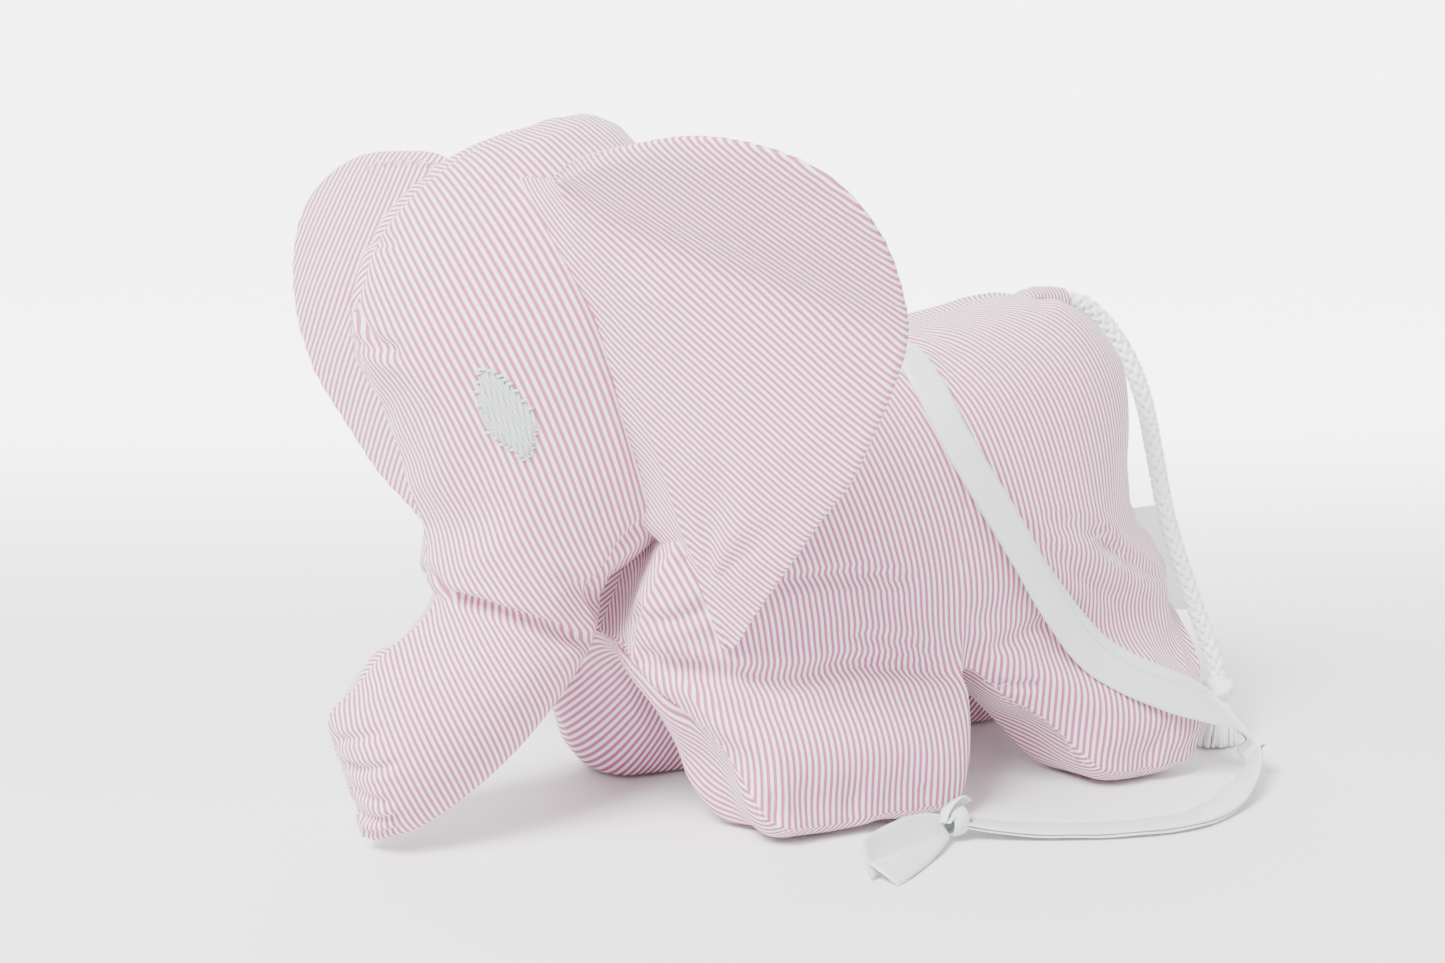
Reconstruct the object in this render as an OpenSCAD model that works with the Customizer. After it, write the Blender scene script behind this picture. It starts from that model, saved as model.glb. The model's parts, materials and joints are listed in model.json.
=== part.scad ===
// Soft toy elephant sewn from striped cotton, with a cord tail and a satin hanging ribbon.
// Millimetres, +Z up. It faces -X and stands on Z = 0. Its left side is -Y.

/* [Torso] */
// Half the widest width of the torso
torso_half_w = 47; // [42:1:50]
// Height of the belly above the floor
belly_h = 46; // [42:1:48]
// Sideways place of the seam that ends each leg
foot_seam_y = 57; // [54:1:60]
// Height of the seam that ends each leg
foot_seam_z = 4; // [3:0.5:6]

/* [Head and trunk] */
// Half the widest width of the head
head_half_w = 41; // [37:1:43]
// How far the two side panels of the head bulge: 1 is an ellipse, 2 is a lens
head_lens = 1.2; // [1:0.1:1.6]
// Radius of the bending joint in the trunk
trunk_joint_r = 27.5; // [27:0.5:29]
// Free space between the two sides of the bending joint
trunk_joint_gap = 1.2; // [1:0.1:1.6]

/* [Ears] */
// Angle of the left ear, from lying back along the body
ear_left_angle = 52; // [40:1:60]
// Angle of the right ear, which is spread further forward
ear_right_angle = 116; // [106:1:120]
// Reach of the right ear, as a share of the left ear's
ear_right_reach = 0.96; // [0.92:0.01:1]
// Half the thickness of a stuffed ear at its middle
ear_half_t = 2.6; // [2:0.2:3.4]
// How far the top flap of the left ear curls forward
ear_left_curl = 5; // [0:1:8]
// How far the top flap of the right ear curls forward: below zero it hangs back
ear_right_curl = -3; // [-5:1:4]

/* [Fabric] */
// Thickness of the striped cotton, with its seam allowance
cloth_t = 1; // [0.8:0.1:1.6]
// Space between the stuffing and the cotton
stuffing_gap = 0.3; // [0.2:0.1:0.6]

/* [Tail and ribbon] */
// Diameter of the braided tail cord
tail_d = 6; // [5:0.5:7]
// Width of the satin ribbon
ribbon_w = 10; // [8:1:12]
// Thickness of the satin ribbon
ribbon_t = 0.8; // [0.6:0.1:1]

/* [Hidden] */

cotton = [0.87, 0.75, 0.81];
satin = [0.94, 0.95, 0.96];
cord_white = [0.97, 0.97, 0.97];
wadding_white = [0.98, 0.97, 0.94];
thread_silver = [0.85, 0.88, 0.87];

// ---- Curves ----
// Slope of a table of [x, value] pairs at its entry i
function table_slope(t, i) =
    let (a = max(i - 1, 0), b = min(i + 1, len(t) - 1))
    (t[b][1] - t[a][1]) / (t[b][0] - t[a][0]);
// The entry of the table that x follows
function table_place(t, x, i = 0) = i >= len(t) - 2 || x < t[i + 1][0] ? i : table_place(t, x, i + 1);
// A smooth curve through a table of [x, value] pairs
function curve(t, x_any) =
    let (
        x = min(max(x_any, t[0][0]), t[len(t) - 1][0]),
        i = table_place(t, x),
        h = t[i + 1][0] - t[i][0],
        s = (x - t[i][0]) / h
    )
    (2 * s ^ 3 - 3 * s ^ 2 + 1) * t[i][1] + (s ^ 3 - 2 * s ^ 2 + s) * h * table_slope(t, i)
    + (3 * s ^ 2 - 2 * s ^ 3) * t[i + 1][1] + (s ^ 3 - s ^ 2) * h * table_slope(t, i + 1);
function mix(a, b, s) = a * (1 - s) + b * s;
// Catmull-Rom point of a list of points, at s counted in points
function spline(p, s) =
    let (
        n = len(p),
        i = min(floor(s), n - 2),
        f = s - i,
        a = i > 0 ? p[i - 1] : 2 * p[0] - p[1],
        b = p[i],
        c = p[i + 1],
        d = i + 2 < n ? p[i + 2] : 2 * p[n - 1] - p[n - 2]
    )
    0.5 * (2 * b + (c - a) * f + (2 * a - 5 * b + 4 * c - d) * f ^ 2 + (3 * b - a - 3 * c + d) * f ^ 3);
function unit(v) = v / max(norm(v), 1e-9);

// ---- Grids of points: g[i][j], with i along the piece and j across or around it ----
// Unit normal at a grid point. A ring wraps round in j.
function grid_normal(g, i, j, wrap) =
    let (
        n = len(g),
        m = len(g[0]),
        du = g[min(i + 1, n - 1)][j] - g[max(i - 1, 0)][j],
        dv = wrap ? g[i][(j + 1) % m] - g[i][(j + m - 1) % m] : g[i][min(j + 1, m - 1)] - g[i][max(j - 1, 0)]
    )
    unit(cross(du, dv));
function grid_offset(g, d, wrap) =
    [for (i = [0:len(g) - 1]) [for (j = [0:len(g[0]) - 1]) g[i][j] + d * grid_normal(g, i, j, wrap)]];
function grid_columns(g, from, count) =
    [for (row = g) [for (k = [0:count - 1]) row[(from + k) % len(row)]]];
function flat_points(g) = [for (row = g) for (p = row) p];

// A thick sheet between two grids of the same size
module sheet(upper, lower) {
    n = len(upper);
    m = len(upper[0]);
    low = n * m;
    faces = concat(
        [for (i = [0:n - 2]) for (j = [0:m - 2]) each [
            [i * m + j, i * m + j + 1, (i + 1) * m + j],
            [i * m + j + 1, (i + 1) * m + j + 1, (i + 1) * m + j]
        ]],
        [for (i = [0:n - 2]) for (j = [0:m - 2]) each [
            [low + i * m + j, low + (i + 1) * m + j, low + i * m + j + 1],
            [low + i * m + j + 1, low + (i + 1) * m + j, low + (i + 1) * m + j + 1]
        ]],
        [for (i = [0:n - 2]) each [
            [i * m, (i + 1) * m, low + i * m],
            [(i + 1) * m, low + (i + 1) * m, low + i * m],
            [i * m + m - 1, low + i * m + m - 1, (i + 1) * m + m - 1],
            [(i + 1) * m + m - 1, low + i * m + m - 1, low + (i + 1) * m + m - 1]
        ]],
        [for (j = [0:m - 2]) each [
            [j, low + j, j + 1],
            [j + 1, low + j, low + j + 1],
            [(n - 1) * m + j, (n - 1) * m + j + 1, low + (n - 1) * m + j],
            [(n - 1) * m + j + 1, low + (n - 1) * m + j + 1, low + (n - 1) * m + j]
        ]]
    );
    polyhedron(concat(flat_points(upper), flat_points(lower)), [for (f = faces) [f[0], f[2], f[1]]]);
}

// A closed solid from rings that mirror about Y = 0: ring points k and m - k face each other
module filled(rings) {
    n = len(rings);
    m = len(rings[0]);
    half = m / 2;
    last = (n - 1) * m;
    walls = [for (i = [0:n - 2]) for (j = [0:m - 1]) let (k = (j + 1) % m) each [
        [i * m + j, i * m + k, (i + 1) * m + j],
        [i * m + k, (i + 1) * m + k, (i + 1) * m + j]
    ]];
    ends = [for (j = [0:half - 1]) let (a = j, b = j + 1, c = (m - j - 1) % m, d = (m - j) % m) each concat(
        c != b ? [[a, c, b], [last + a, last + b, last + c]] : [],
        a != d ? [[a, d, c], [last + a, last + c, last + d]] : []
    )];
    polyhedron(flat_points(rings), [for (f = concat(walls, ends)) [f[0], f[2], f[1]]]);
}

// ---- Torso: rings at fixed X, from the spine down the left side, under the belly and up the right ----
// Tables of [x, value]
spine_z = [[-66, 122], [-40, 134], [-10, 139], [20, 141], [41, 144], [71, 150], [90, 154], [102, 147],
    [116, 135], [123, 122], [130, 88], [134, 68], [137, 50]];
side_w = [[-66, 0.62], [-54, 0.8], [-38, 0.92], [0, 0.98], [45, 1], [75, 0.96], [92, 0.89], [107, 0.77],
    [117, 0.64], [125, 0.47], [131, 0.3], [137, 0.12]];
// 1 where the ring takes in a whole leg, 0 where it takes in none
leg_part = [[-66, 0.05], [-60, 0.3], [-52, 0.68], [-46, 0.93], [-40, 1], [26, 1], [31, 0.94], [34, 0.7],
    [36, 0.2], [38, 0], [41, 0], [52, 0.3], [64, 0.62], [74, 0.9], [80, 1], [116, 1], [124, 0.97],
    [131, 0.9], [137, 0.8]];
// 1 where a ring is shut flat into an end of the torso
shut_part = [[-66, 0.98], [-62, 0.55], [-56, 0.28], [-48, 0.08], [-38, 0], [108, 0], [120, 0.1], [128, 0.34],
    [133, 0.62], [137, 0.985]];
torso_stations = [-66, -64, -60, -54, -48, -43, -36, -20, 0, 16, 26, 31, 34, 36, 38, 42, 50, 60, 70, 78, 88,
    98, 108, 116, 122, 127, 131, 134, 136, 137];
waist_z = 84;
crease_z = 50;
leg_w = 56;
sole_in = 26;
sole_out = 46;
outer_points = 12;
inner_points = 8;
torso_points = 2 * (outer_points + inner_points);
// The cut where the head is sewn on: X of the cut at height z
neck_low = [-65, 60];
neck_high = [-24, 150];
function neck_x(z) = neck_low[0] + (z - neck_low[1]) * (neck_high[0] - neck_low[0]) / (neck_high[1] - neck_low[1]);
function neck_z(x) = neck_low[1] + (x - neck_low[0]) * (neck_high[1] - neck_low[1]) / (neck_high[0] - neck_low[0]);
neck_gap = 0.25;

// The line that an end of the torso shuts onto, at y
function shut_z(x, y) = x < 0 ? 57 - 0.004 * y ^ 2 : 46 - 0.011 * y ^ 2;
function shut(x, p) =
    let (s = curve(shut_part, x), y = p[0] * (1 - 0.2 * s))
    [y, mix(p[1], shut_z(x, y), s)];
function torso_outer(x) =
    let (w = torso_half_w * curve(side_w, x), top = curve(spine_z, x), l = curve(leg_part, x), h = top - waist_z)
    [
        [0, top],
        [-0.6 * w, top - 0.07 * h],
        [-0.93 * w, top - 0.42 * h],
        [-w, waist_z - 6],
        [-0.98 * w - l, mix(60, crease_z, l)],
        [-mix(0.94 * w, leg_w, l), mix(51, 27, l)],
        [-mix(0.86 * w, foot_seam_y, l), mix(belly_h - 3, foot_seam_z, l)]
    ];
function torso_inner(x) =
    let (w = torso_half_w * curve(side_w, x), l = curve(leg_part, x))
    [
        torso_outer(x)[6],
        [-mix(0.66 * w, sole_out, l), mix(belly_h - 3.5, 0, l)],
        [-mix(0.46 * w, sole_in, l), mix(belly_h - 3, 0, l)],
        [-mix(0.3 * w, 16, l), mix(belly_h - 2, 15, l)],
        [-mix(0.15 * w, 11, l), mix(belly_h - 1, 34, l)],
        [0, belly_h]
    ];
function torso_half(x) = concat(
    [for (k = [0:outer_points - 1]) spline(torso_outer(x), k * 6 / outer_points)],
    [for (k = [0:inner_points]) spline(torso_inner(x), k * 5 / inner_points)]
);
function torso_ring(x) =
    let (
        half = [for (p = torso_half(x)) shut(x, p)],
        n = len(half),
        loop = concat(half, [for (k = [n - 2:-1:1]) [-half[k][0], half[k][1]]])
    )
    [for (p = loop) [x, p[0], max(0, min(p[1], neck_z(x) - neck_gap))]];
torso_skin = [for (x = torso_stations) torso_ring(x)];

// ---- Head and trunk: rings across a line that runs from the trunk's tip up to the crown ----
// Each ring: centre x, z; direction of the front seam, degrees above -X; depth to the front seam and to the
// back seam; half width
trunk_rings = [
    [-147, 21, 75, 18.5, 18.5, 2],
    [-144.5, 22, 75, 22, 21, 11],
    [-136, 27, 74, 24.5, 25.5, 19],
    [-124, 35, 62, 26.5, 27, 23.5],
    [-112, 44, 45, 26, 27, 25.5],
    [-102, 53, 33, 22, 25, 26]
];
head_rings = [
    [-93, 63, 25.5, 26, 26, 27],
    [-93, 77, 5, 27, 29, 29],
    [-84, 94, 0, 37.5, 44, 33],
    [-80, 110, 0, 46, 48, 36.5],
    [-78, 130, 0, 55, 56, 39.5],
    [-80, 148, 0, 59.5, 57, 41],
    [-80, 165, 0, 58.5, 57.5, 40],
    [-79, 179, 1, 54, 53, 36.5],
    [-76, 190, 4, 45, 43, 31],
    [-71, 199, 10, 32, 30, 23],
    [-67, 206, 14, 18, 17, 14],
    [-64, 209.5, 16, 7, 7, 6],
    [-63.5, 210, 16, 0.6, 0.6, 0.5]
];
head_points = 24;
crease = [-93, 62];
crease_dir = 25.5;
crease_half = 26;
trunk_joint_drop = sqrt(trunk_joint_r ^ 2 - crease_half ^ 2);
trunk_pivot = crease - trunk_joint_drop * [sin(crease_dir), cos(crease_dir)];

function ring_point(r, k, half_w) =
    let (
        a = 360 * k / head_points,
        u = (cos(a) > 0 ? r[3] : r[4]) * cos(a),
        y = -r[5] * sign(sin(a)) * abs(sin(a)) ^ head_lens
    )
    [r[0] - u * cos(r[2]), y * half_w, r[1] + u * sin(r[2])];
// A point of a ring moved along the trunk onto a circle about the joint's axis
function joint_point(k, radius) =
    let (
        a = 360 * k / head_points,
        u = crease_half * cos(a),
        lift = sqrt(radius ^ 2 - u ^ 2)
    )
    [
        trunk_pivot[0] - u * cos(crease_dir) + lift * sin(crease_dir),
        -26.5 * sign(sin(a)) * abs(sin(a)) ^ head_lens,
        trunk_pivot[1] + u * sin(crease_dir) + lift * cos(crease_dir)
    ];
function joint_ring(radius) = [for (k = [0:head_points - 1]) joint_point(k, radius)];
head_scale = head_half_w / 41;
// A point of the head kept outside the trunk's joint
function off_joint(p) =
    let (
        v = [p[0] - trunk_pivot[0], p[2] - trunk_pivot[1]],
        r = max(norm(v), trunk_joint_r + trunk_joint_gap / 2 + 1.6)
    )
    [trunk_pivot[0] + r * unit(v)[0], p[1], trunk_pivot[1] + r * unit(v)[1]];
head_skin = concat(
    [joint_ring(trunk_joint_r + trunk_joint_gap / 2)],
    [for (i = [1:len(head_rings) - 1]) [for (k = [0:head_points - 1])
        let (p = ring_point(head_rings[i], k, head_scale))
        off_joint([min(p[0], p[2] < neck_high[1] + 12 ? neck_x(p[2]) : p[0]), p[1], p[2]])
    ]]
);
trunk_skin = concat(
    [for (r = trunk_rings) [for (k = [0:head_points - 1]) ring_point(r, k, 1)]],
    [joint_ring(trunk_joint_r - trunk_joint_gap / 2)]
);

// ---- Ears: rows run outward from a straight fold line, q is the place along it from its upper end ----
fold_top = [-93, -43, 191];
fold_left = unit([-58, -45, 95] - fold_top);
fold_right = unit([-82, -45, 95] - fold_top);
// An ear: its fold line, its angle, the curl of its top flap and its share of the reach
left_ear = [fold_left, ear_left_angle, ear_left_curl, 1];
right_ear = [fold_right, ear_right_angle, ear_right_curl, ear_right_reach];
// How far the ear reaches from the fold line, against q
ear_reach = [[-9, 50], [-7, 61], [-3, 71], [1, 78], [8, 85], [17, 88.5], [28, 90], [40, 88.5], [52, 85], [64, 78.5],
    [76, 70.5], [88, 60], [100, 46.5], [112, 33], [124, 19.5], [133, 10], [139, 3]];
ear_rows = [-9, -6, -2, 3, 10, 19, 29, 40, 52, 64, 76, 88, 100, 112, 123, 132, 139];
ear_cols = 8;
// The ear starts this far outside the fold line, and its sewn base stops this far inside it
ear_start = 0.8;
base_stop = 1.7;
ear_edge_t = 1;
ear_layer_t = 0.8;
// The valley between the ear's lower part and its top flap, as [reach, q] of its two ends
valley_in = [7, 8];
valley_out = [81, 55];
function above_valley(p, q) =
    let (v = unit(valley_out - valley_in))
    max(0, (p - valley_in[0]) * v[1] - (q - valley_in[1]) * v[0]);
function ear_dir(ear) =
    let (d = [cos(ear[1]), -sin(ear[1]), 0])
    unit(d - (d * ear[0]) * ear[0]);
function ear_front(ear) = cross(ear[0], ear_dir(ear));
function fold_point(fold, q) = fold_top + q * fold;
// The upper rows start further out, so that the top edge slopes up from the fold
function row_start(q) = ear_start + 3 * max(0, -3 - q);
// Half the ear's thickness, at a fraction u of its reach and at q
function ear_half(u, q) =
    ear_edge_t + (ear_half_t - ear_edge_t) * sqrt(max(0, sin(180 * u) * sin(180 * (q + 9) / 148)));
// A surface of the ear, at a share of its thickness plus a small shift
function ear_grid(ear, share, shift) =
    [for (q = ear_rows) [for (k = [0:ear_cols])
        let (
            u = k / ear_cols,
            p = mix(row_start(q), curve(ear_reach, q) * ear[3], u),
            lift = ear[2] * (above_valley(p, q) / 28) ^ 2 + share * ear_half(u, q) + shift
        )
        fold_point(ear[0], q) + p * ear_dir(ear) + lift * ear_front(ear)
    ]];
// The curved seam that holds the ear on the head, X against height
root_x = [[70, -49], [78, -53], [95, -64], [104, -65], [116, -69], [127, -74], [142, -78.5], [156, -82.5],
    [167, -88], [178, -93], [191, -98], [195, -99]];
// Left side of the head at a place in side view
function ring_table(k) = [for (i = [1:len(head_rings) - 1]) [head_rings[i][1], head_rings[i][k]]];
function head_side_y(x, z) =
    let (
        dx = x - curve(ring_table(0), z),
        depth = curve(ring_table(dx < 0 ? 3 : 4), z),
        w = curve(ring_table(5), z) * head_scale
    )
    -w * max(0, 1 - (dx / depth) ^ 2) ^ (head_lens / 2);
base_rows = [for (q = [-3:9:105]) q];
function base_grid(fold, shift) =
    let (mid = [for (q = base_rows)
        let (
            h = fold_point(fold, q),
            x = curve(root_x, h[2]),
            free = max(0, (q - 102) / 30),
            r = [x, mix(head_side_y(x, h[2]) - 1.2, h[1], free), h[2]],
            e = h - base_stop * unit(h - r)
        )
        [r, (r + e) / 2, e]])
    grid_offset(mid, shift, false);

// A ring moved onto a circle about the joint's axis
function on_joint(ring, radius) =
    [for (p = ring)
        let (v = unit([p[0] - trunk_pivot[0], p[2] - trunk_pivot[1]]))
        [trunk_pivot[0] + radius * v[0], p[1], trunk_pivot[1] + radius * v[1]]
    ];
// Each skin moved inward by d, with its edge at the joint kept on its own circle
function torso_inner_skin(d) = grid_offset(torso_skin, d, true);
function head_inner_skin(d) =
    let (g = grid_offset(head_skin, d, true), edge = on_joint(g[0], trunk_joint_r + trunk_joint_gap / 2))
    [for (i = [0:len(g) - 1]) i == 0 ? edge : g[i]];
function trunk_inner_skin(d) =
    let (g = grid_offset(trunk_skin, d, true), n = len(g))
    let (edge = on_joint(g[n - 1], trunk_joint_r - trunk_joint_gap / 2))
    [for (i = [0:n - 1]) i == n - 1 ? edge : g[i]];

// One cotton panel: some columns of a closed skin and of the same skin moved inward
module panel(skin, inner, from, count) {
    color(cotton)
    sheet(grid_columns(skin, from, count), grid_columns(inner, from, count));
}
module stuffing(inner) {
    color(wadding_white)
    filled(inner);
}
// Swaps the left side for the right
module on_right() {
    mirror([0, 1, 0])
    children();
}

module torso_side_left() {
    panel(torso_skin, torso_inner_skin(cloth_t), 0, outer_points + 1);
}
module torso_side_right() {
    panel(torso_skin, torso_inner_skin(cloth_t), torso_points - outer_points, outer_points + 1);
}
module belly_gusset() {
    panel(torso_skin, torso_inner_skin(cloth_t), outer_points, 2 * inner_points + 1);
}
module torso_stuffing() {
    stuffing(torso_inner_skin(cloth_t + stuffing_gap));
}
module head_side_left() {
    panel(head_skin, head_inner_skin(cloth_t), 0, head_points / 2 + 1);
}
module head_side_right() {
    panel(head_skin, head_inner_skin(cloth_t), head_points / 2, head_points / 2 + 1);
}
module head_stuffing() {
    stuffing(head_inner_skin(cloth_t + stuffing_gap));
}
module trunk_side_left() {
    panel(trunk_skin, trunk_inner_skin(cloth_t), 0, head_points / 2 + 1);
}
module trunk_side_right() {
    panel(trunk_skin, trunk_inner_skin(cloth_t), head_points / 2, head_points / 2 + 1);
}
module trunk_stuffing() {
    stuffing(trunk_inner_skin(cloth_t + stuffing_gap));
}

module ear_base(fold) {
    color(cotton)
    sheet(base_grid(fold, -0.8), base_grid(fold, 0.8));
}
module ear_front_layer(ear) {
    color(cotton)
    sheet(ear_grid(ear, 1, -ear_layer_t), ear_grid(ear, 1, 0));
}
module ear_back_layer(ear) {
    color(cotton)
    sheet(ear_grid(ear, -1, 0), ear_grid(ear, -1, ear_layer_t));
}
module ear_wadding(ear) {
    inset = ear_layer_t + 0.05;
    color(wadding_white)
    sheet(ear_grid(ear, -1, inset), ear_grid(ear, 1, -inset));
}
module ear_left_base() {
    ear_base(fold_left);
}
module ear_left_front() {
    ear_front_layer(left_ear);
}
module ear_left_back() {
    ear_back_layer(left_ear);
}
module ear_left_wadding() {
    ear_wadding(left_ear);
}
module ear_right_base() {
    on_right() ear_base(fold_right);
}
module ear_right_front() {
    on_right() ear_front_layer(right_ear);
}
module ear_right_back() {
    on_right() ear_back_layer(right_ear);
}
module ear_right_wadding() {
    on_right() ear_wadding(right_ear);
}

// ---- Embroidered eye: a pointed leaf that follows the side of the head ----
eye_middle = [-107.5, 131];
eye_half_l = 15;
eye_half_w = 6.5;
eye_lean = 27;
eye_t = 1;
function eye_grid(out) =
    [for (v = [-1:0.25:1]) [for (s = [-1:0.5:1])
        let (
            w = eye_half_w * max(0.08, 1 - abs(v)) ^ 0.8,
            x = eye_middle[0] + v * eye_half_l * sin(eye_lean) + s * w * cos(eye_lean),
            z = eye_middle[1] - v * eye_half_l * cos(eye_lean) + s * w * sin(eye_lean)
        )
        [x, head_side_y(x, z) - out, z]
    ]];
module eye() {
    color(thread_silver)
    sheet(eye_grid(-0.2), eye_grid(eye_t));
}
module eye_left() {
    eye();
}
module eye_right() {
    on_right() eye();
}

// ---- Label in the rear seam ----
label_out = 151;
label_low = 40;
label_high = 77;
label_t = 0.6;
module seam_label() {
    color(satin)
    rotate([90, 0, 0])
    linear_extrude(label_t, center = true)
    polygon([[131, label_high], [label_out - 2, label_high], [label_out, label_low], [136, label_low]]);
}

// ---- Tail ----
tail_pivot = [105, 0, 151];
tail_route = [tail_pivot, [112, -1, 150.5], [120, -4, 145], [127, -8, 134], [132, -11, 118], [135, -14, 98],
    [139, -16, 76], [145, -21, 52], [149, -28, 32], [149, -33, 19]];
tail_sides = 8;
tail_steps = 4;
knot_r = 5.6;
tassel_top = 15;
tassel_low = 0.4;
// Rings round a route: each lies across the route, with its first point to the side that faces +Y
function tube_rings(route, r, sides, steps) =
    let (last = (len(route) - 1) * steps)
    [for (i = [0:last])
        let (
            c = spline(route, i / steps),
            t = unit(spline(route, min(last, i + 1) / steps) - spline(route, max(0, i - 1) / steps)),
            a = unit(cross(t, [0, 1, 0])),
            b = cross(t, a)
        )
        [for (k = [0:sides - 1]) c + r * (sin(360 * k / sides) * a + cos(360 * k / sides) * b)]
    ];
module tube(route, r, sides, steps) {
    rings = tube_rings(route, r, sides, steps);
    n = len(rings);
    last = (n - 1) * sides;
    walls = [for (i = [0:n - 2]) for (k = [0:sides - 1]) let (m = (k + 1) % sides)
        [i * sides + k, i * sides + m, (i + 1) * sides + m, (i + 1) * sides + k]];
    ends = [[for (k = [sides - 1:-1:0]) k], [for (k = [0:sides - 1]) last + k]];
    polyhedron(flat_points(rings), concat(walls, ends));
}
module tail_tab() {
    color(cotton)
    hull() {
        translate([90, 0, 152.5]) sphere(2.5, $fn = 24);
        translate([97.5, 0, 151.5]) rotate([0, 92, 0]) cylinder(h = 4, r1 = 4, r2 = 4.6, $fn = 32);
    }
}
module tail_cord() {
    color(cord_white)
    tube(tail_route, tail_d / 2, tail_sides, tail_steps);
}
module tail_knot() {
    color(cord_white)
    translate(tail_route[len(tail_route) - 1])
    sphere(knot_r, $fn = 32);
}
module tail_tassel() {
    end = tail_route[len(tail_route) - 1];
    color(cord_white)
    translate([end[0], end[1], tassel_low])
    cylinder(h = tassel_top - tassel_low, r1 = 8, r2 = 4.5, $fn = 32);
}

// ---- Ribbon: two strands that lie on each other. Each point is [place, direction across the ribbon] ----
ribbon_route = [
    [[18, 0, 142], [1, 0, 0]], [[20, -14, 143], [1, 0.1, 0]], [[23, -28, 141], [1, 0.1, 0.1]],
    [[25, -40, 130.5], [1, -0.1, 0.2]], [[31, -46.5, 115], [0.9, 0, 0.3]], [[47, -49.5, 90], [0.83, 0, 0.55]],
    [[63, -49.5, 68], [0.78, 0, 0.62]], [[80, -49.5, 49], [0.72, 0.05, 0.68]], [[92, -52.5, 40], [0.6, 0.2, 0.78]],
    [[105, -57, 33.5], [0.45, 0.3, 0.85]], [[119, -59.5, 28], [0.35, 0.1, 0.93]], [[130, -59.5, 21], [0.5, 0, 0.86]],
    [[137, -61, 13.5], [0.8, -0.1, 0.6]], [[136, -65, 7], [0.75, -0.6, 0.2]], [[129, -71, 3.2], [0.6, -0.8, 0]],
    [[119, -78, 1.6], [0.55, -0.83, 0]], [[108, -86, 1.4], [0.5, -0.86, 0]], [[97, -92, 1.4], [0.3, -0.95, 0]],
    [[86, -95, 1.4], [0, -1, 0]], [[70, -92, 1.4], [-0.3, -0.95, 0]], [[52, -84, 1.4], [-0.4, -0.9, 0]],
    [[34, -75, 2.4], [-0.4, -0.9, 0]], [[20, -68, 5], [-0.45, -0.88, 0.1]]
];
ribbon_steps = 2;
strand_gap = 0.1;
ribbon_end = ribbon_route[len(ribbon_route) - 1][0];
function route_place(route) = [for (p = route) p[0]];
function route_across(route) = [for (p = route) p[1]];
// The four corners of a flat strap across its route, lifted off the route by up
function strap_rings(route, w, t, up, steps) =
    let (place = route_place(route), across = route_across(route), last = (len(route) - 1) * steps)
    [for (i = [0:last])
        let (
            c = spline(place, i / steps),
            d = unit(spline(place, min(last, i + 1) / steps) - spline(place, max(0, i - 1) / steps)),
            raw = spline(across, i / steps),
            a = unit(raw - (raw * d) * d),
            n = cross(a, d),
            m = c + up * n
        )
        [m - w / 2 * a - t / 2 * n, m + w / 2 * a - t / 2 * n, m + w / 2 * a + t / 2 * n, m - w / 2 * a + t / 2 * n]
    ];
module strap(route, w, t, up, steps) {
    rings = strap_rings(route, w, t, up, steps);
    n = len(rings);
    last = (n - 1) * 4;
    walls = [for (i = [0:n - 2]) for (k = [0:3]) let (m = (k + 1) % 4) each [
        [i * 4 + k, i * 4 + m, (i + 1) * 4 + k],
        [i * 4 + m, (i + 1) * 4 + m, (i + 1) * 4 + k]
    ]];
    polyhedron(flat_points(rings), concat(walls, [[3, 2, 1, 0], [last, last + 1, last + 2, last + 3]]));
}
module ribbon_outer() {
    color(satin)
    strap(ribbon_route, ribbon_w, ribbon_t, (ribbon_t + strand_gap) / 2, ribbon_steps);
}
module ribbon_inner() {
    color(satin)
    strap(ribbon_route, ribbon_w, ribbon_t, -(ribbon_t + strand_gap) / 2, ribbon_steps);
}
module ribbon_knot() {
    color(satin)
    translate(ribbon_end - [3.5, 1.7, 0])
    hull() {
        sphere(4.4, $fn = 20);
        translate([-4, -2, -1]) sphere(3.6, $fn = 16);
    }
}
ends_route = [[[12, -72, 5], [-0.4, 0.9, 0.3]], [[0, -77, 3.2], [-0.4, 0.9, 0.2]], [[-12, -82, 2.2], [-0.4, 0.9, 0]],
    [[-25, -88, 1.6], [-0.4, 0.9, 0]]];
module ribbon_ends() {
    color(satin)
    strap(ends_route, 14, 1.4, 0, 3);
}

torso_side_left();
torso_side_right();
belly_gusset();
torso_stuffing();
head_side_left();
head_side_right();
head_stuffing();
trunk_side_left();
trunk_side_right();
trunk_stuffing();
eye_left();
eye_right();
ear_left_base();
ear_left_front();
ear_left_back();
ear_left_wadding();
ear_right_base();
ear_right_front();
ear_right_back();
ear_right_wadding();
seam_label();
tail_tab();
tail_cord();
tail_knot();
tail_tassel();
ribbon_outer();
ribbon_inner();
ribbon_knot();
ribbon_ends();
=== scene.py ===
import json
import math

import bmesh
import bpy
import numpy as np
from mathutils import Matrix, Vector
from mathutils.bvhtree import BVHTree

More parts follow.
